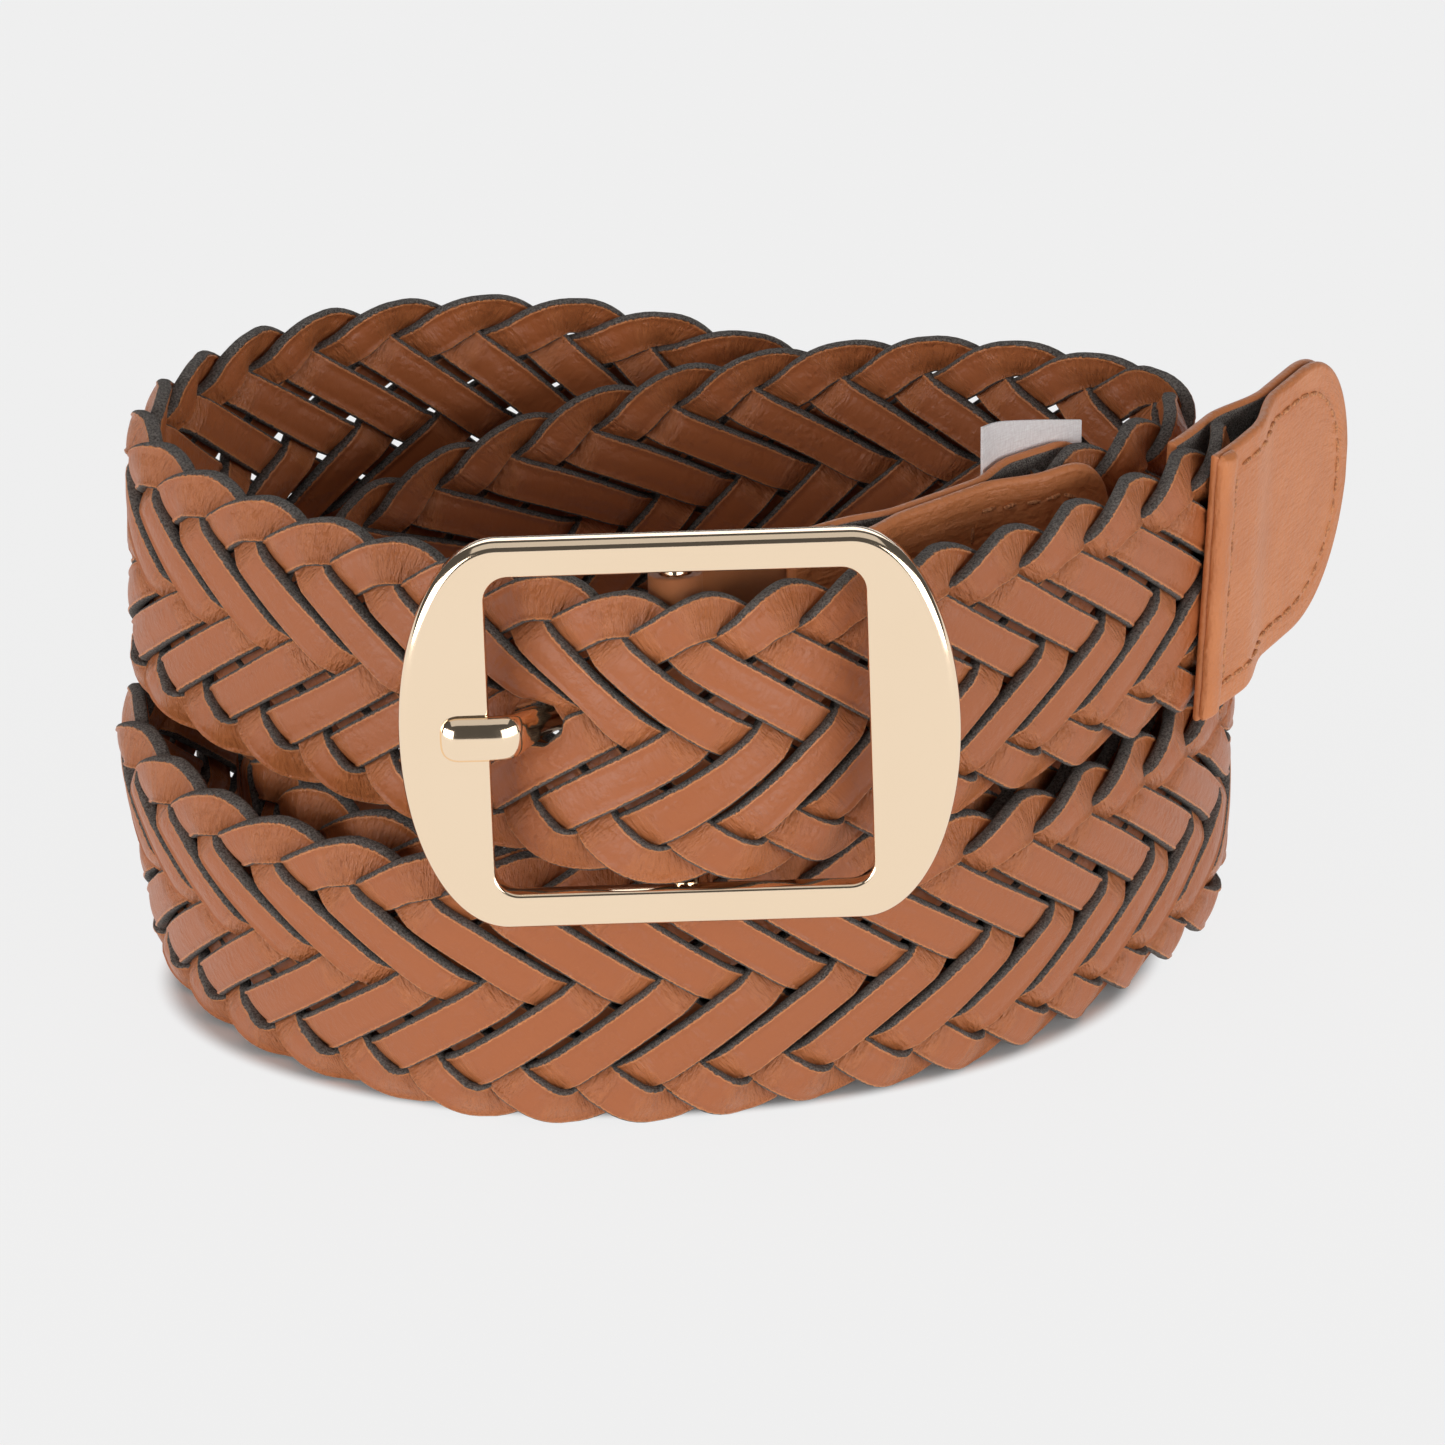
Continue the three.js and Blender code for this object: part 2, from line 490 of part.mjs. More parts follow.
// A lug behind one rail holds an end of the bar. Its outer side slopes back from the rail.
const LUG_BACK = -EYE_OF_WRAP - LUG_WALL;
const LUG_TOP = BAR_SETBACK - FRAME_BEVEL;
const LUG_INSET = 0.1;          // from the edge of the window
function lugGeometry(end) {
  const y = WINDOW_HALF_HEIGHT + LUG_INSET;
  const side = new THREE.Shape();
  side.moveTo(end * y, LUG_BACK);
  side.lineTo(end * (y + LUG_BORE), LUG_BACK);
  side.lineTo(end * (FRAME_HALF_HEIGHT - FRAME_BEVEL), LUG_TOP);
  side.lineTo(end * y, LUG_TOP);
  const lug = new THREE.ExtrudeGeometry(side, { depth: 2 * LUG_HALF_WIDTH, bevelEnabled: false });
  return lug.translate(0, 0, -LUG_HALF_WIDTH).applyMatrix4(UPRIGHT);
}
// Turns a side view drawn as height and depth upright: height to +Y, depth to +Z.
const UPRIGHT = new THREE.Matrix4().makeBasis(vec(0, 1, 0), vec(0, 0, 1), vec(1, 0, 0));

// The seat that the prong's tip lies in.
const NOTCH_END = PRONG_REACH + SEAT_ROOM + GAP;
const NOTCH_HALF_HEIGHT = PRONG_TIP_WIDTH / 2 + SEAT_ROOM;
const NOTCH_FLOOR = BAR_SETBACK + FRAME_THICK / 2 - SEAT_DEPTH;
const NOTCH_INNER = 2;          // beyond the edge of the window
function buckleFrame() {
  const plate = new THREE.ExtrudeGeometry(frameShape(), {
    depth: FRAME_THICK - 2 * FRAME_BEVEL,
    bevelEnabled: true,
    bevelThickness: FRAME_BEVEL,
    bevelSize: FRAME_BEVEL,
    bevelSegments: 1,
    curveSegments: 7,
  });
  plate.translate(0, 0, BAR_SETBACK - FRAME_THICK / 2 + FRAME_BEVEL);
  const holeHeight = 2 * (WINDOW_HALF_HEIGHT + LUG_BORE);
  const bore = new THREE.CylinderGeometry(EYE_OF_WRAP, EYE_OF_WRAP, holeHeight, 16);
  const seat = boxBetween(vec(-NOTCH_END, -NOTCH_HALF_HEIGHT, NOTCH_FLOOR),
    vec(NOTCH_INNER - WINDOW_HALF_WIDTH, NOTCH_HALF_HEIGHT, BAR_SETBACK + FRAME_THICK));
  const cast = toSolid(plate).add(toSolid(lugGeometry(1))).add(toSolid(lugGeometry(-1)));
  return toGeometry(cast.subtract(toSolid(bore)).subtract(toSolid(seat)));
}
addPiece('buckle_frame', buckleFrame(), gold, buckle);

const BAR_HALF_LENGTH = WINDOW_HALF_HEIGHT + LUG_BORE - GAP;
const barGeometry = new THREE.CylinderGeometry(BAR_RADIUS, BAR_RADIUS, 2 * BAR_HALF_LENGTH, 16);
addPiece('centre_bar', barGeometry, gold, buckle);

// The prong is the overlap of its side view, with its ring, and its front view. It
// dips behind the strap, comes up through the eye and lies flat in its seat.
const PRONG_LINE_HEIGHT = NOTCH_FLOOR + GAP + PRONG_THICK / 2;
const PRONG_SEATED = 21.5;      // from the bar to where the prong lies flat
const PRONG_LINE = [
  [0, 0], [-5, -1.4], [-9.6, -2.6], [-12.9, -2.7], [-15.3, -0.7], [-17.4, 2.6], [-19.2, 5.2],
  [-PRONG_SEATED, PRONG_LINE_HEIGHT], [-PRONG_REACH, PRONG_LINE_HEIGHT],
];
const PRONG_TIP_ROUND = 1.8;
const PRONG_WIDENS = [13.5, 18];
const WELL_BEYOND = 12;

function prongSide() {
  const line = new THREE.SplineCurve(PRONG_LINE.map(([x, z]) => new THREE.Vector2(x, z)));
  const upper = [];
  const lower = [];
  for (const t of steps(0, 1, 48)) {
    const point = line.getPoint(t);
    const along = line.getTangent(t);
    const intoTip = Math.max(0, PRONG_TIP_ROUND - PRONG_REACH - point.x) / PRONG_TIP_ROUND;
    const half = PRONG_THICK / 2 * Math.max(0.25, Math.sqrt(Math.max(0, 1 - intoTip ** 2)));
    const across = new THREE.Vector2(along.y, -along.x).multiplyScalar(half);
    upper.push(point.clone().add(across));
    lower.push(point.clone().sub(across));
  }
  return new THREE.Shape([...upper, ...lower.toReversed()]);
}

function prongFront() {
  const root = PRONG_ROOT_WIDTH / 2;
  const tip = PRONG_TIP_WIDTH / 2;
  const [from, to] = PRONG_WIDENS;
  const front = new THREE.Shape();
  front.moveTo(WELL_BEYOND, root);
  front.lineTo(WELL_BEYOND, -root);
  front.lineTo(-from, -root);
  front.lineTo(-to, -tip);
  front.lineTo(-PRONG_REACH + PRONG_TIP_ROUND, -tip);
  front.quadraticCurveTo(-PRONG_REACH, -tip, -PRONG_REACH, 0);
  front.quadraticCurveTo(-PRONG_REACH, tip, -PRONG_REACH + PRONG_TIP_ROUND, tip);
  front.lineTo(-to, tip);
  front.lineTo(-from, root);
  return front;
}

function prongGeometry() {
  const through = { depth: 2 * WELL_BEYOND, bevelEnabled: false, curveSegments: 8 };
  const slab = new THREE.ExtrudeGeometry(prongSide(), through);
  slab.translate(0, 0, -WELL_BEYOND).rotateX(Math.PI / 2);
  const outline = new THREE.ExtrudeGeometry(prongFront(), through).translate(0, 0, -WELL_BEYOND);
  const ring = new THREE.CylinderGeometry(PRONG_RING_RADIUS, PRONG_RING_RADIUS, WELL_BEYOND, 24);
  const bore = new THREE.CylinderGeometry(EYE_OF_WRAP, EYE_OF_WRAP, 2 * WELL_BEYOND, 16);
  const blank = toSolid(slab).add(toSolid(ring)).intersect(toSolid(outline));
  return toGeometry(blank.subtract(toSolid(bore)));
}
addPiece('prong', prongGeometry(), gold, buckle);

// ---- Blank label behind the tab -------------------------------------------------
const LABEL_FROM = TAB_REAR_LENGTH - LABEL_LENGTH - LABEL_INSET;
const labelRings = steps(LABEL_FROM, LABEL_FROM + LABEL_LENGTH, 3).map((distance) => {
  const near = -tabInner(distance) - LEATHER - GAP;
  const far = near - LABEL_THICK;
  const top = HALF_WIDTH + LABEL_PROUD - LABEL_SLOPE * (distance - LABEL_FROM);
  const low = top - LABEL_HEIGHT;
  return [
    strapPoint(distance, top, near), strapPoint(distance, low, near),
    strapPoint(distance, low, far), strapPoint(distance, top, far),
  ];
});
addPiece('blank_label', loft(labelRings), labelWhite);

// ---- Stand the belt over the origin ---------------------------------------------
const bounds = new THREE.Box3().setFromObject(belt);
belt.position.set(-(bounds.min.x + bounds.max.x) / 2, -(bounds.min.y + bounds.max.y) / 2, -bounds.min.z);

export default belt;
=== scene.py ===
# %% [markdown]
# # A woven leather belt, coiled on its edge and fastened
# Nine flat strands of coated leather are plaited into one strap. A folded tab holds a
# pale gold buckle at one end, and a stitched tip closes the other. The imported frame
# gives the size and place of every piece, so each one here is made where its plain
# counterpart lies, and then takes over its place.

# %% Load the frame
import math
import bmesh
import bpy
import numpy as np
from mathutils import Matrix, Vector


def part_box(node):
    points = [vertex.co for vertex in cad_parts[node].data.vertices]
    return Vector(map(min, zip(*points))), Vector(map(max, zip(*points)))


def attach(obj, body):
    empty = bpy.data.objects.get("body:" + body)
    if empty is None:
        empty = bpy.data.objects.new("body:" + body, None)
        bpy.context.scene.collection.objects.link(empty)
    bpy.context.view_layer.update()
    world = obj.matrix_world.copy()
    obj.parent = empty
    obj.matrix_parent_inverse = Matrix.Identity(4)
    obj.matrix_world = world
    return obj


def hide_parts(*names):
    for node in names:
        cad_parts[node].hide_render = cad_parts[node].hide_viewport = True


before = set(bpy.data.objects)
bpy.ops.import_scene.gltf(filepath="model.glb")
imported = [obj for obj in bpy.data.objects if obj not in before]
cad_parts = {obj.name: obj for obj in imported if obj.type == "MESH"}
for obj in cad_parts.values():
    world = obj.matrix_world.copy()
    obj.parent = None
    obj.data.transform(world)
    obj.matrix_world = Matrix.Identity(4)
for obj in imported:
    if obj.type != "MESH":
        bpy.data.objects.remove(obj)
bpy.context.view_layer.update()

# %% [markdown]
# ## Camera, floor and light
# A long lens a little above the belt flattens the perspective.
# The floor is one pale sheet that runs out of view on every side. Two broad lamps at
# a low angle light the outer faces evenly and leave the inside of the coil in shade,
# and a lamp overhead gives the upper rims their gleam.

# %% Camera
MM = 0.001
SENSOR = 36.0
LENS = 242.084
VIEW_ELEVATION = math.radians(24)
VIEW_DISTANCE = 1.150
VIEW_TARGET = Vector((-2.19, -4.52, 34.54)) * MM

away = Vector((0, -math.cos(VIEW_ELEVATION), math.sin(VIEW_ELEVATION)))
bpy.ops.object.camera_add(location=VIEW_TARGET + away * VIEW_DISTANCE,
                          rotation=(math.pi / 2 - VIEW_ELEVATION, 0, 0))
camera = bpy.context.object
camera.data.sensor_width = SENSOR
camera.data.lens = LENS
bpy.context.scene.camera = camera
print("lens in mm", round(camera.data.lens, 1))

# %% Lamps and surroundings
def soft_lamp(name, azimuth, elevation, distance, wide, high, watts):
    """A lamp that looks at the belt. Azimuth 0 is in front and turns to the right."""
    turn, lift = math.radians(azimuth), math.radians(elevation)
    flat = math.cos(lift)
    away = Vector((math.sin(turn) * flat, -math.cos(turn) * flat, math.sin(lift))) * distance
    bpy.ops.object.light_add(type="AREA", location=VIEW_TARGET + away,
                             rotation=away.to_track_quat("Z", "Y").to_euler())
    lamp = bpy.context.object
    lamp.name = name
    lamp.data.shape = "RECTANGLE"
    lamp.data.size, lamp.data.size_y = wide, high
    lamp.data.energy = watts


soft_lamp("lamp_left", azimuth=-50, elevation=11, distance=1.8, wide=2.0, high=0.7, watts=20)
soft_lamp("lamp_right", azimuth=48, elevation=11, distance=1.8, wide=2.0, high=0.7, watts=19)
soft_lamp("lamp_top", azimuth=5, elevation=76, distance=1.3, wide=1.8, high=1.5, watts=4.5)
soft_lamp("lamp_back", azimuth=180, elevation=20, distance=1.8, wide=1.8, high=0.9, watts=8)

world = bpy.context.scene.world or bpy.data.worlds.new("world")
bpy.context.scene.world = world
world.use_nodes = True
world.node_tree.nodes["Background"].inputs["Color"].default_value = (1, 1, 1, 1)
world.node_tree.nodes["Background"].inputs["Strength"].default_value = 0.08
bpy.context.scene.view_settings.view_transform = "Standard"

# %% [markdown]
# ## Writing materials as sums
# Every finish is a short sum of patterns. `Value` wraps one number that changes over
# a surface, so that `1 - mask` or `grain * 0.3` adds the Math node that it needs.
# `Finish.node` adds any other node from its type, its settings and its inputs.

# %% Material helpers
class Value:
    """A number that changes over a surface, ready for plain arithmetic."""

    def __init__(self, finish, socket):
        self.finish, self.socket = finish, socket

    def math(self, operation, *others, swap=False):
        terms = [self, *others]
        if swap:
            terms.reverse()
        made = self.finish.node("Math", {"operation": operation}, dict(enumerate(terms)))
        return Value(self.finish, made.outputs[0])

    def __add__(self, other):
        return self.math("ADD", other)

    def __sub__(self, other):
        return self.math("SUBTRACT", other)

    def __rsub__(self, other):
        return self.math("SUBTRACT", other, swap=True)

    def __mul__(self, other):
        return self.math("MULTIPLY", other)

    __radd__, __rmul__ = __add__, __mul__

    def between(self, low, high):
        """0 below low, 1 above high, and a smooth turn between them."""
        made = self.finish.node("MapRange", {"interpolation_type": "SMOOTHSTEP"},
                                {"Value": self, "From Min": low, "From Max": high})
        return Value(self.finish, made.outputs["Result"])


class Finish:
    """One material: fixed numbers go straight on its shader, patterns are linked to it."""

    def __init__(self, name, fixed):
        self.material = bpy.data.materials.new(name)
        self.material.use_nodes = True
        self.tree = self.material.node_tree
        self.shader = self.tree.nodes["Principled BSDF"]
        for socket, value in fixed.items():
            self.shader.inputs[socket].default_value = value

    def node(self, kind, settings=None, inputs=None):
        made = self.tree.nodes.new("ShaderNode" + kind)
        for setting, value in (settings or {}).items():
            setattr(made, setting, value)
        for socket, value in (inputs or {}).items():
            self.feed(made.inputs[socket], value)
        return made

    def feed(self, socket, value):
        if isinstance(value, Value):
            value = value.socket
        if isinstance(value, bpy.types.NodeSocket):
            self.tree.links.new(value, socket)
        else:
            socket.default_value = value

    def attribute(self, name):
        return Value(self, self.node("Attribute", {"attribute_name": name}).outputs["Fac"])

    def along_strap(self):
        """The piece's own map: metres along it and metres round it."""
        return self.node("UVMap", {"uv_map": "strap"}).outputs["UV"]

    def in_space(self):
        return self.node("TexCoord").outputs["Object"]

    def stretched(self, where, x, y):
        return self.node("VectorMath", {"operation": "MULTIPLY"}, {0: where, 1: (x, y, 1)}).outputs[0]

    def noise(self, where, scale, detail=2.0, roughness=0.5):
        made = self.node("TexNoise", {}, {"Vector": where, "Scale": scale, "Detail": detail,
                                          "Roughness": roughness})
        return Value(self, made.outputs["Fac"])

    def cells(self, where, scale):
        made = self.node("TexVoronoi", {}, {"Vector": where, "Scale": scale})
        return Value(self, made.outputs["Distance"])

    def blend(self, factor, first, second):
        """A colour that goes from first to second as factor goes from 0 to 1."""
        made = self.node("Mix", {"data_type": "RGBA"}, {0: factor, 6: first, 7: second})
        return made.outputs[2]

    def relief(self, height, depth, below=None):
        inputs = {"Height": height, "Distance": depth, "Strength": 1.0}
        if below is not None:
            inputs["Normal"] = below
        return self.node("Bump", {}, inputs).outputs["Normal"]

    def surface(self, linked):
        for socket, value in linked.items():
            self.feed(self.shader.inputs[socket], value)
        return self.material


def tone(red, green, blue):
    """A colour as it is written for screens, from 0 to 255, as the shader wants it."""
    def linear(part):
        part /= 255
        return part / 12.92 if part <= 0.04045 else ((part + 0.055) / 1.055) ** 2.4
    return (linear(red), linear(green), linear(blue), 1.0)


# %% [markdown]
# ## Floor
# The sheet glows about as bright as the light it throws back, so that it stays even.
# Inside the coil it doesn't glow, since the walls keep the light out there.

# %% Floor
bpy.ops.object.select_all(action="DESELECT")
bpy.ops.mesh.primitive_plane_add(size=6.0, location=(0, 0, 0))
floor = bpy.context.object
floor.name = "floor"
COIL_CENTRE = (-0.0095, 0.0035, 0)
COIL_HALF_LENGTH, COIL_HALF_DEPTH = 0.0614, 0.0438
COIL_TURN = math.radians(8.7)


def pale_paper():
    finish = Finish("pale_paper", {"Roughness": 0.9, "Specular IOR Level": 0.0,
                                   "Emission Strength": 1.0})
    inward = finish.node("VectorMath", {"operation": "SUBTRACT"},
                         {0: finish.in_space(), 1: COIL_CENTRE})

    def share(turn, half):
        """How far along one axis of the oval, as a share of its half length."""
        way = (math.cos(turn) / half, math.sin(turn) / half, 0)
        made = finish.node("VectorMath", {"operation": "DOT_PRODUCT"}, {0: inward.outputs[0], 1: way})
        return Value(finish, made.outputs["Value"])

    long, short = share(COIL_TURN, COIL_HALF_LENGTH), share(COIL_TURN + math.pi / 2, COIL_HALF_DEPTH)
    glow = (long * long + short * short).between(0.88, 1.0)
    return finish.surface({
        "Emission Color": finish.blend(glow, (0.06, 0.06, 0.06, 1), (0.83, 0.83, 0.83, 1)),
        "Base Color": finish.blend(glow, (0.8, 0.8, 0.8, 1), (0.07, 0.07, 0.07, 1))})


floor.data.materials.append(pale_paper())

# %% [markdown]
# ## The strap's route
# The strap stands on its edge and winds outward, so its route is a list of stops,
# the same ones that the frame was built on. Level 0 stands on the floor and level 1
# on the turn below. Lean tips the upper edge outward, in degrees.
# Inset counts the turns that lie between this one and the outermost.

# %% Stops of the route
BELT_WIDTH = 34.4
STACK_GAP = 0.4
STRAND_COUNT = 9
PITCH = 10.15
TURN_STEP = 4.6
HALF_WIDTH = BELT_WIDTH / 2
ROUTE = [
    [-4.9, -39.2, 1.018, -6.3, 0], [5, -30.4, 0.998, -4, 0], [20, -17.3, 0.994, 0, 0],
    [35, -4.2, 0.998, 0, 0], [45.5, 4.6, 1, 0, 0], [52, 12.5, 1, 0, 0], [54.3, 20, 1, 0, 0],
    [51.6, 27.8, 0.995, 0, 0], [45, 33, 0.985, 0, 0], [36, 37.6, 0.97, 0, 0], [25, 41.6, 0.94, 0, 0],
    [12, 44.2, 0.89, 0, 0], [0, 44.3, 0.825, 0, 0], [-12, 42.6, 0.755, 0, 0],
    [-24, 39.2, 0.67, 0, 0], [-35, 34.6, 0.58, 0, 0], [-45, 28, 0.47, 0, 0],
    [-52, 19, 0.34, 0, 0], [-55.4, 8.5, 0.2, 0, 0], [-55, -1.5, 0.085, 0, 0],
    [-52, -10.5, 0.012, 0, 0], [-46.5, -18.5, 0, 2, 0], [-38.5, -25.4, 0, 4, 0],
    # inner turn on the floor, against the outer one
    [-26.5, -37.2, 0, 2, 1], [-16, -37.4, 0, -1, 1], [-5.2, -36.3, 0, -1, 1], [4.5, -34.1, 0, 1, 1],
    [14.3, -31.0, 0, 4, 1], [25.1, -26.2, 0, 5, 1], [34.3, -19.6, 0, 5, 1], [42.1, -11.3, 0, 5, 1],
    [48.4, -2.5, 0, 5, 1], [54, 7.8, 0, 4, 1], [57.2, 18.5, 0, 2, 1], [56, 30, 0, 0, 1],
    [49, 40.6, 0, 0, 1], [37.5, 48, 0, 0, 1], [24, 51.9, 0, 0, 1], [10, 53.6, 0, 0, 1],
    [-4, 54, 0, 0, 1], [-18, 53.2, 0, 2, 1],
    # round to the outer turn at the front
    [-32, 47, 0, 4, 0], [-46, 41.4, 0, 6, 0], [-57.5, 32, 0, 8, 0], [-65, 20.5, 0, 9, 0],
    [-68.2, 8, 0, 9, 0], [-65.4, -3.6, 0, 9, 0], [-60.6, -13, 0, 9, 0], [-55.6, -20, 0, 9, 0],
    [-49.2, -26.1, 0, 9, 0], [-41.6, -31.3, 0, 8, 0], [-34.2, -35.1, 0, 6, 0],
    [-25.7, -37.2, 0, 2, 0], [-16, -37.4, 0, -1, 0], [-5.2, -36.3, 0, -1, 0], [4.5, -34.1, 0, 1, 0],
    [14.3, -31.0, 0, 4, 0], [25.1, -26.2, 0, 5, 0], [34.3, -19.6, 0, 5, 0], [42.1, -11.3, 0, 5, 0],
    [48.6, -2.5, 0, 5, 0], [54.6, 7.8, 0, 4, 0], [58.6, 18.5, 0, 2, 0], [59, 30, 0.13, 0, 0],
    [51.6, 41.6, 0.28, 0, 0], [39.4, 49.6, 0.45, 0, 0], [25, 53.4, 0.61, 0, 0], [10, 54.8, 0.74, 0, 0],
    [-4, 55, 0.85, 0, 0], [-18, 54.2, 0.935, 0, 0], [-31, 51.8, 0.985, 0, 0],
    # upper outer turn, then the stretch through the buckle
    [-43, 48, 1, 0, 0], [-54, 41.4, 1, 0, 0], [-62.5, 32, 1, 0, 0], [-67.6, 20, 1, 0, 0],
    [-68.2, 8, 1, 0, 0], [-63.8, -2, 1, 0, 0], [-57, -10.4, 1, 0, 0], [-49.6, -17.6, 1, 0, 0],
    [-41.6, -23.9, 1, -1, 0], [-33.6, -29.6, 1, -3, 0], [-25.8, -34.8, 1, -5, 0],
    [-18.4, -39.7, 1, -7, 0], [-11.4, -43.3, 1, -7, 0], [-4.9, -44.6, 1, -7, 0],
    [1.8, -43.6, 1, -7, 0], [9, -40.2, 1, -5, 0], [17, -34.8, 1, -2, 0], [25.6, -28.2, 1, 1, 0],
    [34.2, -21.2, 1, 3, 0], [42, -13.9, 1, 3, 0], [49, -5.8, 1, 3, 0], [55.2, 2.8, 1, 3, 0],
    [60.4, 11.8, 1, 2, 0], [65.2, 21.2, 1, 2, 0], [70, 30.6, 1, 2, 0], [74.8, 40, 1, 2, 0],
]
BUCKLE_STOP = 84


def route_points():
    """The stops as points, each moved inward by the turns that lie outside it."""
    stops = np.array(ROUTE, float)
    points = np.column_stack([stops[:, 0], stops[:, 1],
                              HALF_WIDTH + stops[:, 2] * (BELT_WIDTH + STACK_GAP)])
    before, after = np.vstack([points[:1], points[:-1]]), np.vstack([points[1:], points[-1:]])
    along = (after - before)[:, :2]
    along /= np.linalg.norm(along, axis=1, keepdims=True)
    points[:, 0] -= along[:, 1] * stops[:, 4] * TURN_STEP
    points[:, 1] += along[:, 0] * stops[:, 4] * TURN_STEP
    return points, np.radians(stops[:, 3])


# %% [markdown]
# ## From a flat strap to a coiled one
# Every piece of the belt is designed flat: so far along the strap, so high on its
# width, and so far out of its middle. One smooth curve through the stops carries that
# flat drawing into space, so the plait and the stitching bend with the strap.

# %% The curve through the stops
SAMPLES_PER_STOP = 40


def smooth_route():
    """Distance along the strap, with its centre and its three directions at each sample."""
    points, lean = route_points()
    ends = np.vstack([2 * points[0] - points[1], points, 2 * points[-1] - points[-2]])
    weight = np.linspace(0, 1, SAMPLES_PER_STOP, endpoint=False)[:, None]
    places, tangents, leans = [], [], []
    for i in range(len(points) - 1):
        p0, p1, p2, p3 = ends[i:i + 4]
        gap0, gap1, gap2 = (np.sum((b - a) ** 2) ** 0.25 for a, b in ((p0, p1), (p1, p2), (p2, p3)))
        leave = ((p1 - p0) / gap0 - (p2 - p0) / (gap0 + gap1) + (p2 - p1) / gap1) * gap1
        arrive = ((p2 - p1) / gap1 - (p3 - p1) / (gap1 + gap2) + (p3 - p2) / gap2) * gap1
        square = 3 * (p2 - p1) - 2 * leave - arrive
        cube = 2 * (p1 - p2) + leave + arrive
        places.append(p1 + leave * weight + square * weight ** 2 + cube * weight ** 3)
        tangents.append(leave + 2 * square * weight + 3 * cube * weight ** 2)
        ease = weight[:, 0] ** 2 * (3 - 2 * weight[:, 0])
        leans.append(lean[i] + (lean[i + 1] - lean[i]) * ease)
    places = np.vstack([*places, points[-1:]])
    along = np.vstack([*tangents, (leave + 2 * square + 3 * cube)[None]])
    along /= np.linalg.norm(along, axis=1, keepdims=True)
    lean = np.append(np.concatenate(leans), lean[-1])[:, None]
    distance = np.append(0, np.cumsum(np.linalg.norm(np.diff(places, axis=0), axis=1)))
    side = np.column_stack([along[:, 1], -along[:, 0], np.zeros(len(along))])
    side /= np.linalg.norm(side, axis=1, keepdims=True)
    rise = np.cross(side, along)
    up = rise * np.cos(lean) + side * np.sin(lean)
    out = side * np.cos(lean) - rise * np.sin(lean)
    return distance, places, along, up, out


route_distance, route_place, route_along, route_up, route_out = smooth_route()
ROUTE_LENGTH = route_distance[-1]
BUCKLE_DISTANCE = route_distance[BUCKLE_STOP * SAMPLES_PER_STOP]
bar_low, bar_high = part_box("centre_bar")
STAND = np.array((bar_low + bar_high) / 2) / MM - route_place[0]
print("strap length in mm", round(ROUTE_LENGTH), "moved by", STAND.round(3))


def along_route(table, distance):
    return np.stack([np.interp(distance, route_distance, table[:, k]) for k in range(3)], axis=-1)


def strap_point(distance, height, offset):
    """Points of the strap in metres, from their places on the flat drawing in millimetres."""
    distance, height, offset = np.broadcast_arrays(distance, height, offset)
    kept = np.clip(distance, 0, ROUTE_LENGTH)
    point = along_route(route_place, kept)
    point = point + along_route(route_along, kept) * (distance - kept)[..., None]
    point = point + along_route(route_up, kept) * height[..., None]
    point = point + along_route(route_out, kept) * offset[..., None]
    return (point + STAND) * MM


# %% [markdown]
# ## A skin over rings
# A strand or a rim is a row of rings with the same number of points, so one function
# skins them, caps the two ends and turns the faces outward. It can also write a map in
# real metres, for grain that follows the piece, and marks that a finish reads.

# %% Skin helper
def skin(name, rings, lengths=None, marks=None, capped=True, looped=False):
    count, sides = rings.shape[:2]
    spans = count if looped else count - 1
    row, column = np.meshgrid(np.arange(spans), np.arange(sides), indexing="ij")
    row, column = row.ravel(), column.ravel()
    lower, right = (row + 1) % count, (column + 1) % sides
    quads = np.stack([row * sides + column, row * sides + right,
                      lower * sides + right, lower * sides + column], axis=1)
    points = rings.reshape(-1, 3)
    a, b, c, d = (points[quads[:, k]] for k in range(4))
    volume = np.sum(a * (np.cross(b, c) + np.cross(c, d)))
    faces = quads.tolist()
    if capped and not looped:
        faces += [list(range(sides))[::-1], [(count - 1) * sides + k for k in range(sides)]]
    if volume < 0:
        faces = [face[::-1] for face in faces]
    mesh = bpy.data.meshes.new(name)
    mesh.from_pydata(points.tolist(), [], faces)
    if lengths is not None:
        middle = rings[count // 2]
        round_it = np.append(0, np.cumsum(np.linalg.norm(np.roll(middle, -1, axis=0) - middle, axis=1)))
        corner_u = np.stack([lengths[row], lengths[row], lengths[row + 1], lengths[row + 1]], axis=1)
        corner_v = np.stack([round_it[column], round_it[column + 1],
                             round_it[column + 1], round_it[column]], axis=1)
        corners = np.stack([corner_u, corner_v], axis=-1)
        if volume < 0:
            corners = corners[:, ::-1]
        uv = np.zeros((len(mesh.loops), 2))
        uv[:4 * len(quads)] = corners.reshape(-1, 2)
        mesh.uv_layers.new(name="strap").data.foreach_set("uv", uv.ravel())
    for mark, values in (marks or {}).items():
        layer = mesh.attributes.new(mark, "FLOAT", "POINT")
        spread = np.broadcast_to(values, (count, sides)).ravel()
        layer.data.foreach_set("value", spread.astype(np.float32))
    mesh.shade_smooth()
    return put(mesh)


def put(mesh):
    """Puts a mesh in the scene as a piece of the same name."""
    piece = bpy.data.objects.new(mesh.name, mesh)
    bpy.context.collection.objects.link(piece)
    return piece


def sheet(name, points, faces):
    mesh = bpy.data.meshes.new(name)
    mesh.from_pydata(points.reshape(-1, 3).tolist(), [], faces)
    return put(mesh)


def grid_faces(rows, columns, wanted=lambda row, column: True):
    """Squares of a grid of points, apart from those that aren't wanted."""
    return [[i * columns + j, i * columns + j + 1, (i + 1) * columns + j + 1, (i + 1) * columns + j]
            for i in range(rows - 1) for j in range(columns - 1) if wanted(i, j)]


def rework(piece, *steps):
    work = bmesh.new()
    work.from_mesh(piece.data)
    for step in steps:
        step(work)
    work.to_mesh(piece.data)
    work.free()


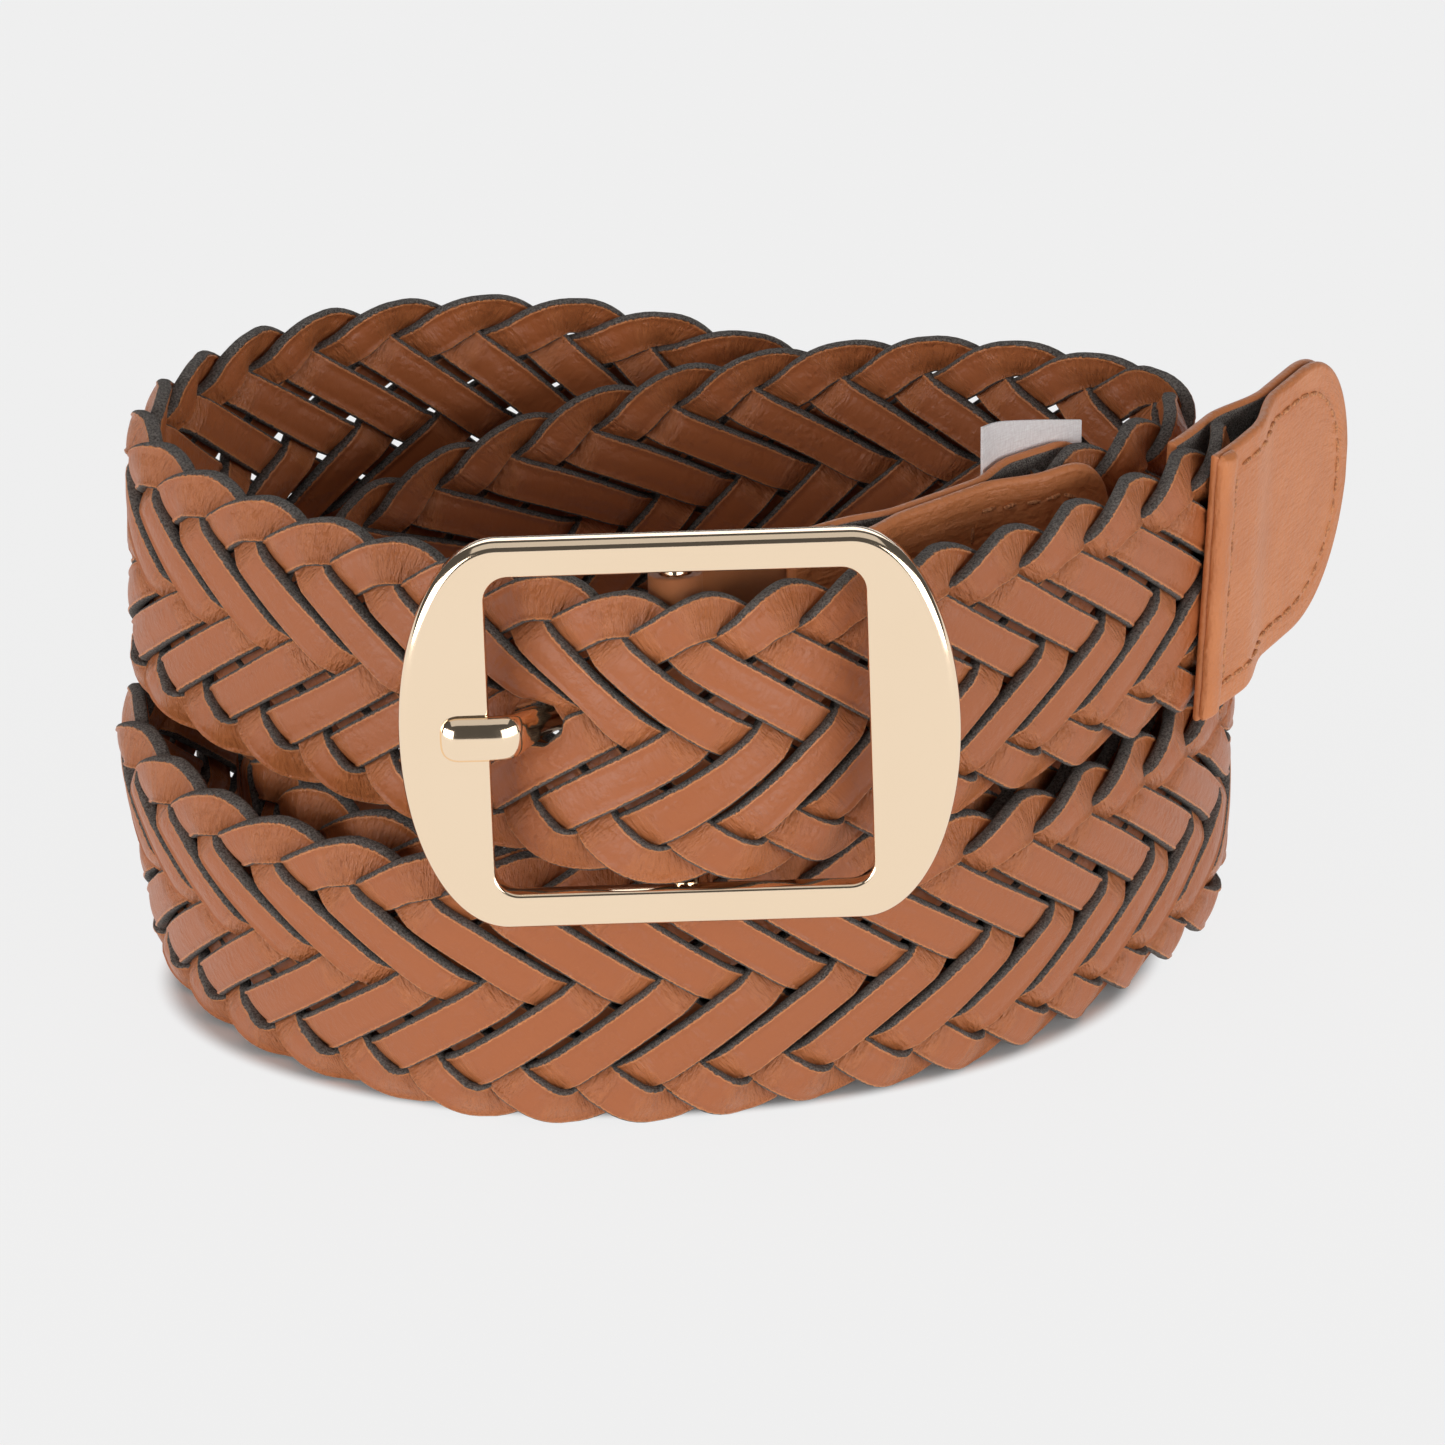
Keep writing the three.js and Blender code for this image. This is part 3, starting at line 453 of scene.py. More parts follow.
def weld(piece, near=1e-6):
    """Joins points that lie together, so that a closing ring becomes an edge."""
    rework(piece, lambda work: bmesh.ops.remove_doubles(work, verts=work.verts, dist=near),
           lambda work: bmesh.ops.dissolve_degenerate(work, edges=work.edges, dist=near))


def face_outward(work):
    bmesh.ops.recalc_face_normals(work, faces=work.faces)


def place(piece, body, slot, material, *nodes):
    """Gives a finished piece its finish, and the place of the frame's nodes that it stands for."""
    piece.data.materials.clear()
    piece.data.materials.append(material)
    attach(piece, body)
    if nodes:
        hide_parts(*nodes)
    print(piece.name, len(piece.data.polygons), "faces")


def smoothstep(value, low, high):
    share = np.clip((value - low) / (high - low), 0, 1)
    return share * share * (3 - 2 * share)


# %% [markdown]
# ## Coated leather
# The real material is a felted grey backing with a tan coat pressed on both faces.
# The coat has a fine pebble with painted shade in its pits, is smoother where it is stretched
# and wrinkles where it bends, and the cut edge shows a thin paler rim and then the felt.
# The mark `edge` runs from 0 on a face to 1 on the cut, and `bend` says how hard the
# strand turns there.

# %% Strand leather
TAN = tone(207, 129, 78)
TAN_DEEP = tone(192, 115, 67)
TAN_RIM = tone(214, 138, 84)
# A darker tan: where the coat creases the strands blend from it towards the paler tans, and in the pits
# of the grain it is painted shade.
TAN_DARK = tone(166, 94, 53)
PEBBLE_SCALE = 1250             # cells in a metre
FELT = tone(150, 141, 134)
FELT_DARK = tone(74, 67, 62)


def pebble(finish, where):
    """The grain of the coat: rounded cells with finer ones in them."""
    coarse = finish.cells(where, PEBBLE_SCALE)
    fine = finish.noise(where, 3600)
    return (1 - coarse) * 0.6 + fine * 0.4


def strand_leather():
    finish = Finish("strand_leather", {"IOR": 1.46})
    mapped = finish.along_strap()
    edge, bend = finish.attribute("edge"), finish.attribute("bend")
    ragged = finish.noise(finish.in_space(), 2400, detail=4, roughness=0.7)
    cut = (edge + (ragged - 0.5) * 0.42).between(0.20, 0.31)
    rim = (edge + (ragged - 0.5) * 0.42).between(0.05, 0.2)
    cloud = finish.noise(finish.in_space(), 130, detail=3)
    speck = finish.noise(mapped, 900, detail=3)
    grain = pebble(finish, mapped)
    patch = finish.noise(finish.in_space(), 260, detail=2).between(0.42, 0.62)
    wrinkle = finish.noise(finish.stretched(mapped, 1500, 380), 1.0, detail=4, roughness=0.66)
    creased = wrinkle * (bend * 0.85 + 0.15)
    tan = finish.blend(cloud.between(0.35, 0.7) * 0.5 + speck * 0.2, TAN, TAN_DEEP)
    tan = finish.blend(creased.between(0.15, 0.55) * 0.35, TAN_DARK, tan)
    # Painted shade: the pits between the pebble's cells are darkened, more so in the patches of
    # stronger grain.
    pit_shade = finish.cells(mapped, PEBBLE_SCALE).between(0.30, 0.62) * (patch * 0.26 + 0.12)
    tan = finish.blend(pit_shade, tan, TAN_DARK)
    tan = finish.blend(rim * 0.8, tan, TAN_RIM)
    nap = finish.noise(finish.in_space(), 3800, detail=4, roughness=0.75)
    felt = finish.blend(nap.between(0.34, 0.66), FELT_DARK, FELT)
    coat = finish.relief(grain * (patch * 0.7 + 0.3), 0.00020)
    coat = finish.relief(creased, 0.0007, coat)
    fibre = finish.noise(finish.in_space(), 3000, detail=5, roughness=0.8)
    fuzz = finish.relief(fibre * cut, 0.0006, coat)
    gloss = 0.32 + speck * 0.14 + cut * 0.55 - bend * 0.08
    return finish.surface({"Base Color": finish.blend(cut, tan, felt),
                           "Roughness": gloss, "Normal": fuzz})


strand_finish = strand_leather()

# %% [markdown]
# ## The plait
# Each strand crosses the strap in a straight run, turns at the edge in a rounded
# scallop and comes back. Between two scallops it meets the eight others: under one,
# over three, under three, over one. The strands are flat strips with rounded corners,
# thicker than a line of paint, so their rise and fall is modelled and not drawn. They
# can't be extruded by hand along nine woven paths, so a formula lays them.

# %% Strand formula
STRAND_WIDTH = 5.1
STRAND_THICK = 1.95
STRAND_CORNER = 0.72
STRAND_CROWN = 0.22
SCALLOP_CURL = 0.46
CROSS_LIFT = 1.06
SCALLOP_TURN = 0.88             # crossings before and after the edge that the turn takes
CROSSING_TURN = 0.42            # crossings that a strand takes to dive, either side
STEP = 0.15                     # crossings between two rings of a strand
SWING = (HALF_WIDTH - STRAND_WIDTH / 2) / (1 - SCALLOP_TURN / STRAND_COUNT)
COUNT_LENGTH = PITCH / 2
RUN_SLOPE = 2 * SWING / STRAND_COUNT / COUNT_LENGTH
RUN_ANGLE = math.atan(RUN_SLOPE)

EYE_PLACE = 16.875
EYE_HALF_LENGTH = 3.5
EYE_HALF_HEIGHT = 2.6
EYE_REACH = 2.4
EYE_LIFT = 1.7
EYE_HEIGHT = -1.717
EYE_DISTANCE = BUCKLE_DISTANCE - EYE_PLACE
BRAID_PHASE = (EYE_DISTANCE - 3 * PITCH) % PITCH
TAB_LENGTH = 64
TIP_LENGTH = 44
BRAID_INSERT = 9
BRAID_START = TAB_LENGTH - BRAID_INSERT
TIP_START = ROUTE_LENGTH - TIP_LENGTH
BRAID_END = TIP_START + BRAID_INSERT


def part_strands(distance, height):
    """Opens the eye for the prong: points close to it move out to its rim."""
    x, y = (distance - EYE_DISTANCE) / EYE_HALF_LENGTH, (height - EYE_HEIGHT) / EYE_HALF_HEIGHT
    r = np.maximum(np.hypot(x, y), 1e-6)
    fade = np.exp(-((r / EYE_REACH) ** 2))
    scale = (r + (np.sqrt(r * r + 1) - r) * fade) / r
    return (EYE_DISTANCE + x * scale * EYE_HALF_LENGTH,
            EYE_HEIGHT + y * scale * EYE_HALF_HEIGHT + EYE_LIFT * fade)


def strand_level(count):
    """1 over the others, -1 under them, for a count of crossings since the last scallop."""
    count = count % STRAND_COUNT
    turn = SCALLOP_TURN * 0.8
    near = np.minimum(count, 4.5)
    level = -np.sin(np.pi / 2 * np.clip(near / turn, 0, 1))
    for crossing, way in ((1.5, 1), (4.5, -1), (7.5, 1)):
        level = level + 2 * way * smoothstep(count, crossing - CROSSING_TURN, crossing + CROSSING_TURN)
    last = STRAND_COUNT - count
    return np.where(last < turn, np.sin(np.pi / 2 * last / turn), level)


def strand_arch(count):
    """Strands that float over three others bow out a little between their dives."""
    inside = (count % STRAND_COUNT - 1.5) / 3
    first, second = np.clip(inside, 0, 1), np.clip(inside - 1, 0, 1)
    return np.where((inside > 0) & (inside < 1), np.sin(np.pi * first),
                    np.where((inside > 1) & (inside < 2), -np.sin(np.pi * second), 0))


def wander(count, seed, amount):
    """A slow drift that makes no two strands alike."""
    return amount * (np.sin(count * 0.83 + seed * 2.1) + np.sin(count * 1.37 + seed * 4.7)) / 2


def strip_section(width, thick, corner, crown):
    """Places round a flat strip: across it, through it, and how close to its cut edge."""
    flat = np.linspace(-1, 1, 7)
    across, through, edge = [], [], []
    half, deep = width / 2 - corner, thick / 2 - corner
    bends = np.radians([18, 45, 72])
    for face in (1, -1):
        across += [*(face * flat * half)]
        through += [*(face * (thick / 2 + crown * (1 - flat ** 2) - crown))]
        edge += [0.0] * len(flat)
        across += [face * (half + corner * math.sin(a)) for a in bends]
        through += [face * (deep + corner * math.cos(a)) for a in bends]
        edge += [0.1, 0.34, 0.62]
        across += [face * width / 2] * 3
        through += [face * deep, 0, -face * deep]
        edge += [1.0, 1.0, 1.0]
        across += [face * (half + corner * math.cos(a)) for a in bends]
        through += [-face * (deep + corner * math.sin(a)) for a in bends]
        edge += [0.62, 0.3, 0.08]
    return np.array(across), np.array(through), np.array(edge)


def strand(index):
    across, through, edge = strip_section(STRAND_WIDTH, STRAND_THICK, STRAND_CORNER, STRAND_CROWN)
    first = (BRAID_START - BRAID_PHASE) / COUNT_LENGTH - 2 * index
    last = (BRAID_END - BRAID_PHASE) / COUNT_LENGTH - 2 * index
    total = np.linspace(first, last, int((last - first) / STEP))[:, None]
    run, count = np.floor(total / STRAND_COUNT), total % STRAND_COUNT
    falling = np.where(run % 2 == 0, 1.0, -1.0)
    nearest = np.minimum(count, STRAND_COUNT - count)
    turn = np.clip(nearest / SCALLOP_TURN, 0, 1)
    peak = np.where(nearest < SCALLOP_TURN, (nearest ** 2 / SCALLOP_TURN + SCALLOP_TURN) / 2, nearest)
    side = np.where(count < STRAND_COUNT / 2, 1.0, -1.0)
    height = falling * side * (SWING - 2 * SWING / STRAND_COUNT * peak)
    angle = np.arctan(-falling * RUN_SLOPE * turn)
    height = height + wander(total, index, 0.16)
    reach = across * (1 + wander(total, index + 20, 0.035))
    distance = BRAID_PHASE + 2 * index * COUNT_LENGTH + total * COUNT_LENGTH
    point_distance = distance - reach * np.sin(angle)
    point_height = height + reach * np.cos(angle)
    point_distance, point_height = part_strands(point_distance, point_height)
    skew = -falling * reach / math.tan(2 * RUN_ANGLE) * math.cos(RUN_ANGLE) / COUNT_LENGTH * turn
    level = strand_level(total + skew)
    curl = SCALLOP_CURL * (1 - turn) * falling * side
    offset = level * CROSS_LIFT + 0.2 * strand_arch(total) + through - curl * reach
    offset = offset + wander(total, index + 40, 0.05) * reach
    bend = np.abs(np.gradient(strand_level(total[:, 0]))) / STEP
    bend = np.clip(bend / 2.2 + 0.8 * (1 - turn[:, 0]), 0, 1)[:, None]
    lengths = (total[:, 0] - first) * COUNT_LENGTH / math.cos(RUN_ANGLE) * MM
    rings = strap_point(point_distance, point_height, offset)
    return skin(f"strand_{index + 1}", rings, lengths, {"edge": edge, "bend": bend})


for index in range(STRAND_COUNT):
    place(strand(index), "strap", "strand_leather", strand_finish, f"braid_strand_{index + 1}")

# %% [markdown]
# ## Sewn leather plies
# The tab and the tip are two plies of the same coated leather, sewn back to back round
# the end of the plait. Their edges are rounded over and painted. A ply is a sheet with
# its own outline on the flat drawing, thin at its edge and full inside it, with a
# shallow groove where the thread pulls it in. Its two faces meet along the outline,
# where they are welded.

# %% Tab and tip finish
TAB_TAN = tone(204, 127, 77)
TAB_DEEP = tone(188, 112, 65)
PAINT = tone(198, 122, 74)


def ply_leather():
    finish = Finish("tab_leather", {"IOR": 1.46})
    mapped = finish.along_strap()
    edge, back = finish.attribute("edge"), finish.attribute("back")
    cloud = finish.noise(finish.in_space(), 90, detail=3)
    speck = finish.noise(finish.in_space(), 900, detail=3)
    tan = finish.blend(cloud.between(0.35, 0.7) * 0.6 + speck * 0.15, TAB_TAN, TAB_DEEP)
    tan = finish.blend(edge.between(0.25, 0.75), tan, PAINT)
    nap = finish.noise(finish.in_space(), 5200, detail=4, roughness=0.7)
    felt = finish.blend(nap.between(0.36, 0.66), FELT_DARK, FELT)
    lining = back.between(0.5, 0.7)
    streak = finish.noise(finish.stretched(mapped, 260, 1500), 1.0, detail=3, roughness=0.6)
    coat = finish.relief(pebble(finish, finish.in_space()), 0.00018)
    coat = finish.relief(streak * (1 - edge), 0.00022, coat)
    fibre = finish.noise(finish.in_space(), 4200, detail=4, roughness=0.75)
    fuzz = finish.relief(fibre * lining, 0.0002, coat)
    gloss = 0.38 + speck * 0.14 + lining * 0.45
    return finish.surface({"Base Color": finish.blend(lining, tan, felt),
                           "Roughness": gloss, "Normal": fuzz})


ply_finish = ply_leather()

# %% Ply builder
LEATHER = 1.3
STITCH_INSET = 3.3
GROOVE_DEPTH = 0.16
GROOVE_WIDTH = 0.55
STATION_STEP = 0.45


def round_off(start, end, round_length, sharpness):
    """Stations along a ply, with half its height at each: full, then closed by a round end."""
    lead = start + LEATHER * np.linspace(0, 1, 8, endpoint=False) ** 2
    count = int((end - round_length - start) / STATION_STEP)
    straight = np.linspace(start + LEATHER, end - round_length, count, endpoint=False)
    turn = np.linspace(0, np.pi / 2, 44)
    bend = end - round_length + round_length * np.sin(turn) ** (2 / 2.2)
    full = np.ones(len(lead) + len(straight))
    return (np.concatenate([lead, straight, bend]),
            HALF_WIDTH * np.concatenate([full, np.cos(turn) ** sharpness]))


def edge_distance(stations, half, height, start, end):
    slope = np.gradient(half, stations + np.arange(len(stations)) * 1e-9)
    from_side = (half[:, None] - np.abs(height)) / np.hypot(1, slope)[:, None]
    from_side = np.where(half[:, None] < 1e-6, 0, from_side)
    from_ends = np.minimum(stations - start, end - stations)[:, None]
    return np.maximum(np.minimum(from_side, from_ends), 0)


def ply(name, stations, half, inner, face, groove=True):
    """A sheet of leather on the strap's front, where face is 1, or on its back, where it is -1."""
    start, end = stations[0], stations[-1]
    across = np.sin(np.linspace(-np.pi / 2, np.pi / 2, 96))
    height = half[:, None] * across
    distance = np.broadcast_to(stations[:, None], height.shape)
    inside = edge_distance(stations, half, height, start, end)
    swell = np.sqrt(np.clip(1 - (1 - np.clip(inside / (LEATHER / 2), 0, 1)) ** 2, 0, 1))
    middle = inner(distance) + LEATHER / 2
    dent = GROOVE_DEPTH * np.exp(-((inside - STITCH_INSET) / GROOVE_WIDTH) ** 2) if groove else 0
    outer = middle + LEATHER / 2 * swell - dent
    lining = middle - LEATHER / 2 * swell
    sheets = [strap_point(distance, height, face * outer), strap_point(distance, height, face * lining)]
    rings = np.concatenate([sheets[0], sheets[1][:, ::-1]], axis=1)
    edge = np.clip(1.15 - inside / (LEATHER / 2), 0, 1)
    marks = {"edge": np.concatenate([edge, edge[:, ::-1]], axis=1),
             "back": np.concatenate([np.zeros_like(edge), 1 - edge[:, ::-1]], axis=1)}
    piece = skin(name, rings, (stations - start) * MM, marks, capped=False)
    weld(piece)
    return piece


# %% [markdown]
# ## The tab
# The two plies lie against the wrap of leather that goes round the bar, close on each
# other, and then part to hold the end of the plait.

# %% Tab
TAB_START = 15
TAB_REAR_LENGTH = 67
TAB_ROUND = 7
TAB_SHARPNESS = 0.45
WRAP_LENGTH = 25
BRAID_ROOM = 2.35
PLY_CLOSED = 0.06
PLY_OVER_WRAP = 1.6


def tab_inner(distance):
    closing = smoothstep(distance, WRAP_LENGTH + 1, WRAP_LENGTH + 9)
    opening = smoothstep(distance, BRAID_START - 9, BRAID_START - 1)
    shut = PLY_OVER_WRAP + (PLY_CLOSED - PLY_OVER_WRAP) * closing
    return shut + (BRAID_ROOM - shut) * opening


for name, node, length, face in (("tab_front", "tab_front_ply", TAB_LENGTH, 1),
                                 ("tab_rear", "tab_rear_ply", TAB_REAR_LENGTH, -1)):
    stations, half = round_off(TAB_START, length, TAB_ROUND, TAB_SHARPNESS)
    place(ply(name, stations, half, tab_inner, face), "strap", "tab_leather", ply_finish, node)

# %% [markdown]
# ## The tip
# Its plies open at the mouth over the plait and close beyond it. A rolled strip
# stiffens the mouth on the front.

# %% Tip
TIP_ROUND = 15
TIP_SHARPNESS = 1.0
TIP_END = ROUTE_LENGTH - 0.4
BAND_WIDTH = 3.4
BAND_HEIGHT = 1.15


def tip_inner(distance):
    return BRAID_ROOM + (PLY_CLOSED - BRAID_ROOM) * smoothstep(distance, BRAID_END + 1, BRAID_END + 12)


stations, half = round_off(TIP_START, TIP_END, TIP_ROUND, TIP_SHARPNESS)
for name, node, face in (("tip_front", "tip_front_ply", 1), ("tip_rear", "tip_rear_ply", -1)):
    place(ply(name, stations, half, tip_inner, face), "strap", "tab_leather", ply_finish, node)


def mouth_band():
    turn = np.linspace(0, 2 * np.pi, 28, endpoint=False)
    swell = np.sign(np.sin(turn)) * np.abs(np.sin(turn)) ** 0.8
    heights = HALF_WIDTH * np.sin(np.linspace(-np.pi / 2, np.pi / 2, 70))
    close = np.minimum(1, np.sqrt(np.clip((HALF_WIDTH - np.abs(heights)) / 0.8, 0, 1)))[:, None]
    distance = TIP_START + BAND_WIDTH / 2 * (1 + np.cos(turn) * (0.6 + 0.4 * close))
    lift = np.where(swell > 0, swell * BAND_HEIGHT, swell * 0.5) * close
    sway = 0.06 * np.sin(heights * 0.9)[:, None]
    rings = strap_point(distance, heights[:, None], BRAID_ROOM + LEATHER + sway + lift)
    piece = skin("tip_band", rings, heights * MM, {"edge": 0.0, "back": 0.0}, capped=False)
    weld(piece)
    return piece


place(mouth_band(), "strap", "tab_leather", ply_finish, "tip_edge_band")

# %% [markdown]
# ## Stitches
# Thread shows as short raised stitches with a gap between them. One stitch is a small
# ball drawn out into a capsule. It is copied along the seam, and each copy is bent
# onto the strap by the same flat drawing.

# %% Thread finish and stitches
THREAD = tone(206, 140, 92)
THREAD_DEEP = tone(160, 98, 58)
STITCH_LENGTH = 2.2
STITCH_PITCH = 2.7
THREAD_RADIUS = 0.30


def sewing_thread():
    finish = Finish("sewing_thread", {"Roughness": 0.6})
    twist = finish.noise(finish.in_space(), 3000, detail=1)
    colour = finish.blend(twist.between(0.35, 0.65), THREAD, THREAD_DEEP)
    return finish.surface({"Base Color": colour, "Normal": finish.relief(twist, 0.00008)})


thread_finish = sewing_thread()


def one_stitch():
    """A capsule in millimetres, lying along X."""
    bpy.ops.object.select_all(action="DESELECT")
    bpy.ops.mesh.primitive_uv_sphere_add(segments=8, ring_count=6, radius=THREAD_RADIUS,
                                         rotation=(0, math.pi / 2, 0))
    ball = bpy.context.object
    bpy.ops.object.transform_apply(location=True, rotation=True)
    points = np.array([vertex.co for vertex in ball.data.vertices])
    faces = [list(face.vertices) for face in ball.data.polygons]
    bpy.data.objects.remove(ball)
    stretch = STITCH_LENGTH / 2 - THREAD_RADIUS
    points[:, 0] += np.sign(points[:, 0]) * (np.abs(points[:, 0]) > 1e-5) * stretch
    return points, faces


def seam(name, lines):
    """Stitches along flat lines of points (distance, height, offset, face)."""
    points, faces = one_stitch()
    placed, all_faces = [], []
    for line in lines:
        length = np.append(0, np.cumsum(np.hypot(*np.diff(line[:, :2], axis=0).T)))
        middles = np.arange(STITCH_PITCH, length[-1] - STITCH_PITCH / 2, STITCH_PITCH)
        for number, middle in enumerate(middles):
            spot, ahead = (np.array([np.interp(middle + step, length, line[:, k]) for k in range(4)])
                           for step in (-0.3, 0.3))
            centre = (spot + ahead) / 2
            turn = math.atan2(ahead[1] - spot[1], ahead[0] - spot[0]) + 0.10 * math.sin(number * 2.3)
            distance = centre[0] + points[:, 0] * math.cos(turn) - points[:, 1] * math.sin(turn)
            height = centre[1] + points[:, 0] * math.sin(turn) + points[:, 1] * math.cos(turn)
            sink = 0.14 * (points[:, 0] / (STITCH_LENGTH / 2)) ** 2
            offset = centre[2] + centre[3] * (points[:, 2] - sink)
            all_faces += [[k + len(placed) * len(points) for k in face] for face in faces]
            placed.append(strap_point(distance, height, offset))
    piece = sheet(name, np.concatenate(placed), all_faces)
    piece.data.shade_smooth()
    rework(piece, face_outward)
    print(name, len(placed), "stitches")
    return piece


def seam_line(start, end, round_length, sharpness, inner, face):
    """The outline of a ply moved inward by the stitch inset, as points on the flat drawing."""
    shrink = (HALF_WIDTH - STITCH_INSET) / HALF_WIDTH
    stations, half = round_off(start, end - STITCH_INSET, round_length - STITCH_INSET * 0.3, sharpness)
    half = half * shrink
    upper = np.column_stack([stations, half])
    lower = np.column_stack([stations, -half])[::-1]
    flat = np.concatenate([upper, lower, [[start, half[0]]]])
    offset = face * (inner(flat[:, 0]) + LEATHER - GROOVE_DEPTH + THREAD_RADIUS * 0.35)
    return np.column_stack([flat, offset, np.full(len(flat), face)])


tab_seams = [seam_line(start, length, TAB_ROUND, TAB_SHARPNESS, tab_inner, face)
             for start, length, face in ((44, TAB_LENGTH, 1), (20, TAB_REAR_LENGTH, -1))]
tip_seams = [seam_line(TIP_START + BAND_WIDTH + 1.2, TIP_END, TIP_ROUND, TIP_SHARPNESS, tip_inner, face)
             for face in (1, -1)]
place(seam("tab_stitches", tab_seams), "strap", "tab_leather", thread_finish)
place(seam("tip_stitches", tip_seams), "strap", "tab_leather", thread_finish)

# %% [markdown]
# ## The wrap round the bar
# A single leaf goes round the bar and back between the plies, with a slot that lets
# the prong through. A bent sheet with the slot left out gets its thickness from the
# Solidify modifier and its soft edges from the Bevel modifier.

# %% Wrap
BAR_RADIUS = 1.5
WRAP_RADIUS = BAR_RADIUS + 0.3 + LEATHER / 2
WRAP_LEG = 0.2 + LEATHER / 2
SLOT_HALF_HEIGHT = 2.6
SLOT_END = 3.4


def bar_wrap():
    leg = np.linspace(WRAP_LENGTH, 5.5, 28)
    turn = np.radians(np.linspace(38, 322, 30))
    run = np.concatenate([leg, WRAP_RADIUS * np.cos(turn), leg[::-1]])
    straight = np.full(len(leg), WRAP_LEG)
    depth = np.concatenate([straight, WRAP_RADIUS * np.sin(turn), -straight])
    heights = np.concatenate([np.linspace(-HALF_WIDTH, -SLOT_HALF_HEIGHT, 16),
                              np.linspace(-1.3, 1.3, 3),
                              np.linspace(SLOT_HALF_HEIGHT, HALF_WIDTH, 16)])
    points = strap_point(run[:, None], heights[None, :], depth[:, None])

    def leather(i, j):
        return abs(heights[j] + heights[j + 1]) >= 2 * SLOT_HALF_HEIGHT or run[i] >= SLOT_END

    piece = sheet("bar_leaf", points, grid_faces(len(run), len(heights), leather))
    finish_with(piece, ("SOLIDIFY", {"thickness": LEATHER * MM, "offset": 0.0}),
                ("BEVEL", {"width": 0.25 * MM, "segments": 3, "angle_limit": math.radians(50)}))
    return piece


def finish_with(piece, *modifiers):
    """Adds modifiers one by one and applies each, then shades the result by its angles."""
    bpy.ops.object.select_all(action="DESELECT")
    bpy.context.view_layer.objects.active = piece
    piece.select_set(True)
    for kind, settings in modifiers:
        modifier = piece.modifiers.new(kind.lower(), kind)
        for setting, value in settings.items():
            setattr(modifier, setting, value)
        bpy.ops.object.modifier_apply(modifier=modifier.name)
    bpy.ops.object.shade_smooth_by_angle(angle=math.radians(35))


wrap = bar_wrap()
wrap.data.uv_layers.new(name="strap")
place(wrap, "strap", "tab_leather", ply_finish, "bar_wrap")

# %% [markdown]
# ## Pale gold
# A polished plating shows the room and not itself: it needs a colour, a little haze
# and a surface that isn't quite flat.

# %% Gold finish
GOLD = (1.0, 0.80, 0.585, 1)
GOLD_DEEP = (0.95, 0.73, 0.50, 1)


def pale_gold():
    finish = Finish("pale_gold", {"Metallic": 1.0})
    cloud = finish.noise(finish.in_space(), 60, detail=2)
    haze = finish.noise(finish.in_space(), 700, detail=4, roughness=0.6)
    colour = finish.blend(cloud * 0.35, GOLD, GOLD_DEEP)
    wave = finish.relief(finish.noise(finish.in_space(), 110, detail=1), 0.00004)
    wave = finish.relief(haze, 0.0000015, wave)
    return finish.surface({"Base Color": colour, "Roughness": 0.07 + haze * 0.06, "Normal": wave})


gold_finish = pale_gold()

# %% [markdown]
# ## The buckle
# The frame is one casting: a rounded window inside an outline with bowed sides. Its
# section is drawn once and carried round, each ring of points a set distance from the
# window or from the outline, so the polished rim keeps one width all the way round.

# %% Buckle frame
FRAME_HALF_WIDTH = 31.9
FRAME_HALF_HEIGHT = 23.0
WINDOW_HALF_WIDTH = 21.6
WINDOW_HALF_HEIGHT = 18.8
WINDOW_CORNER = 2.8
FRAME_BACK, FRAME_FRONT = 2.9, 5.9
RIM_OUTER, RIM_INNER, RIM_BACK = 1.15, 0.42, 0.5
FRAME_STATIONS = 640
SEAT_FLOOR = 4.8
SEAT_HALF_HEIGHT = 3.0
SEAT_END = 28.1
BAR_HALF_LENGTH = 19.8
LUG_BACK = -2.6
LUG_TOP = 3.8
LUG_BORE = 1.3
LUG_HALF_WIDTH = 2.7

bar_place = np.array((bar_low + bar_high) / 2)
bar_right = np.cross(route_up[0], (0, -1, 0))
bar_right /= np.linalg.norm(bar_right)
BUCKLE_AXES = np.array([bar_right, route_up[0], np.cross(bar_right, route_up[0])])


def buckle_point(x, y, z):
    """Points of the buckle in metres: X to the right, Y along the bar, Z to the front."""
    return bar_place + np.stack(np.broadcast_arrays(x, y, z), axis=-1) * MM @ BUCKLE_AXES


def arc(centre_x, centre_y, radius, start, end, count):
    turn = np.radians(np.linspace(start, end, count))
    return np.column_stack([centre_x + radius * np.cos(turn), centre_y + radius * np.sin(turn)])


def outline(quarter):
    """A closed loop from one quarter of it, given from the right side up to the top."""
    bearing = np.arctan2(quarter[:, 1], quarter[:, 0])
    reach = np.hypot(quarter[:, 0], quarter[:, 1])
    turn = np.arange(FRAME_STATIONS) * 2 * np.pi / FRAME_STATIONS
    folded = np.arctan2(np.abs(np.sin(turn)), np.abs(np.cos(turn)))
    radius = np.interp(folded, bearing, reach)
    loop = np.column_stack([radius * np.cos(turn), radius * np.sin(turn)])
    ahead = np.roll(loop, -1, axis=0) - np.roll(loop, 1, axis=0)
    outward = np.column_stack([ahead[:, 1], -ahead[:, 0]])
    return loop, outward / np.linalg.norm(outward, axis=1, keepdims=True)


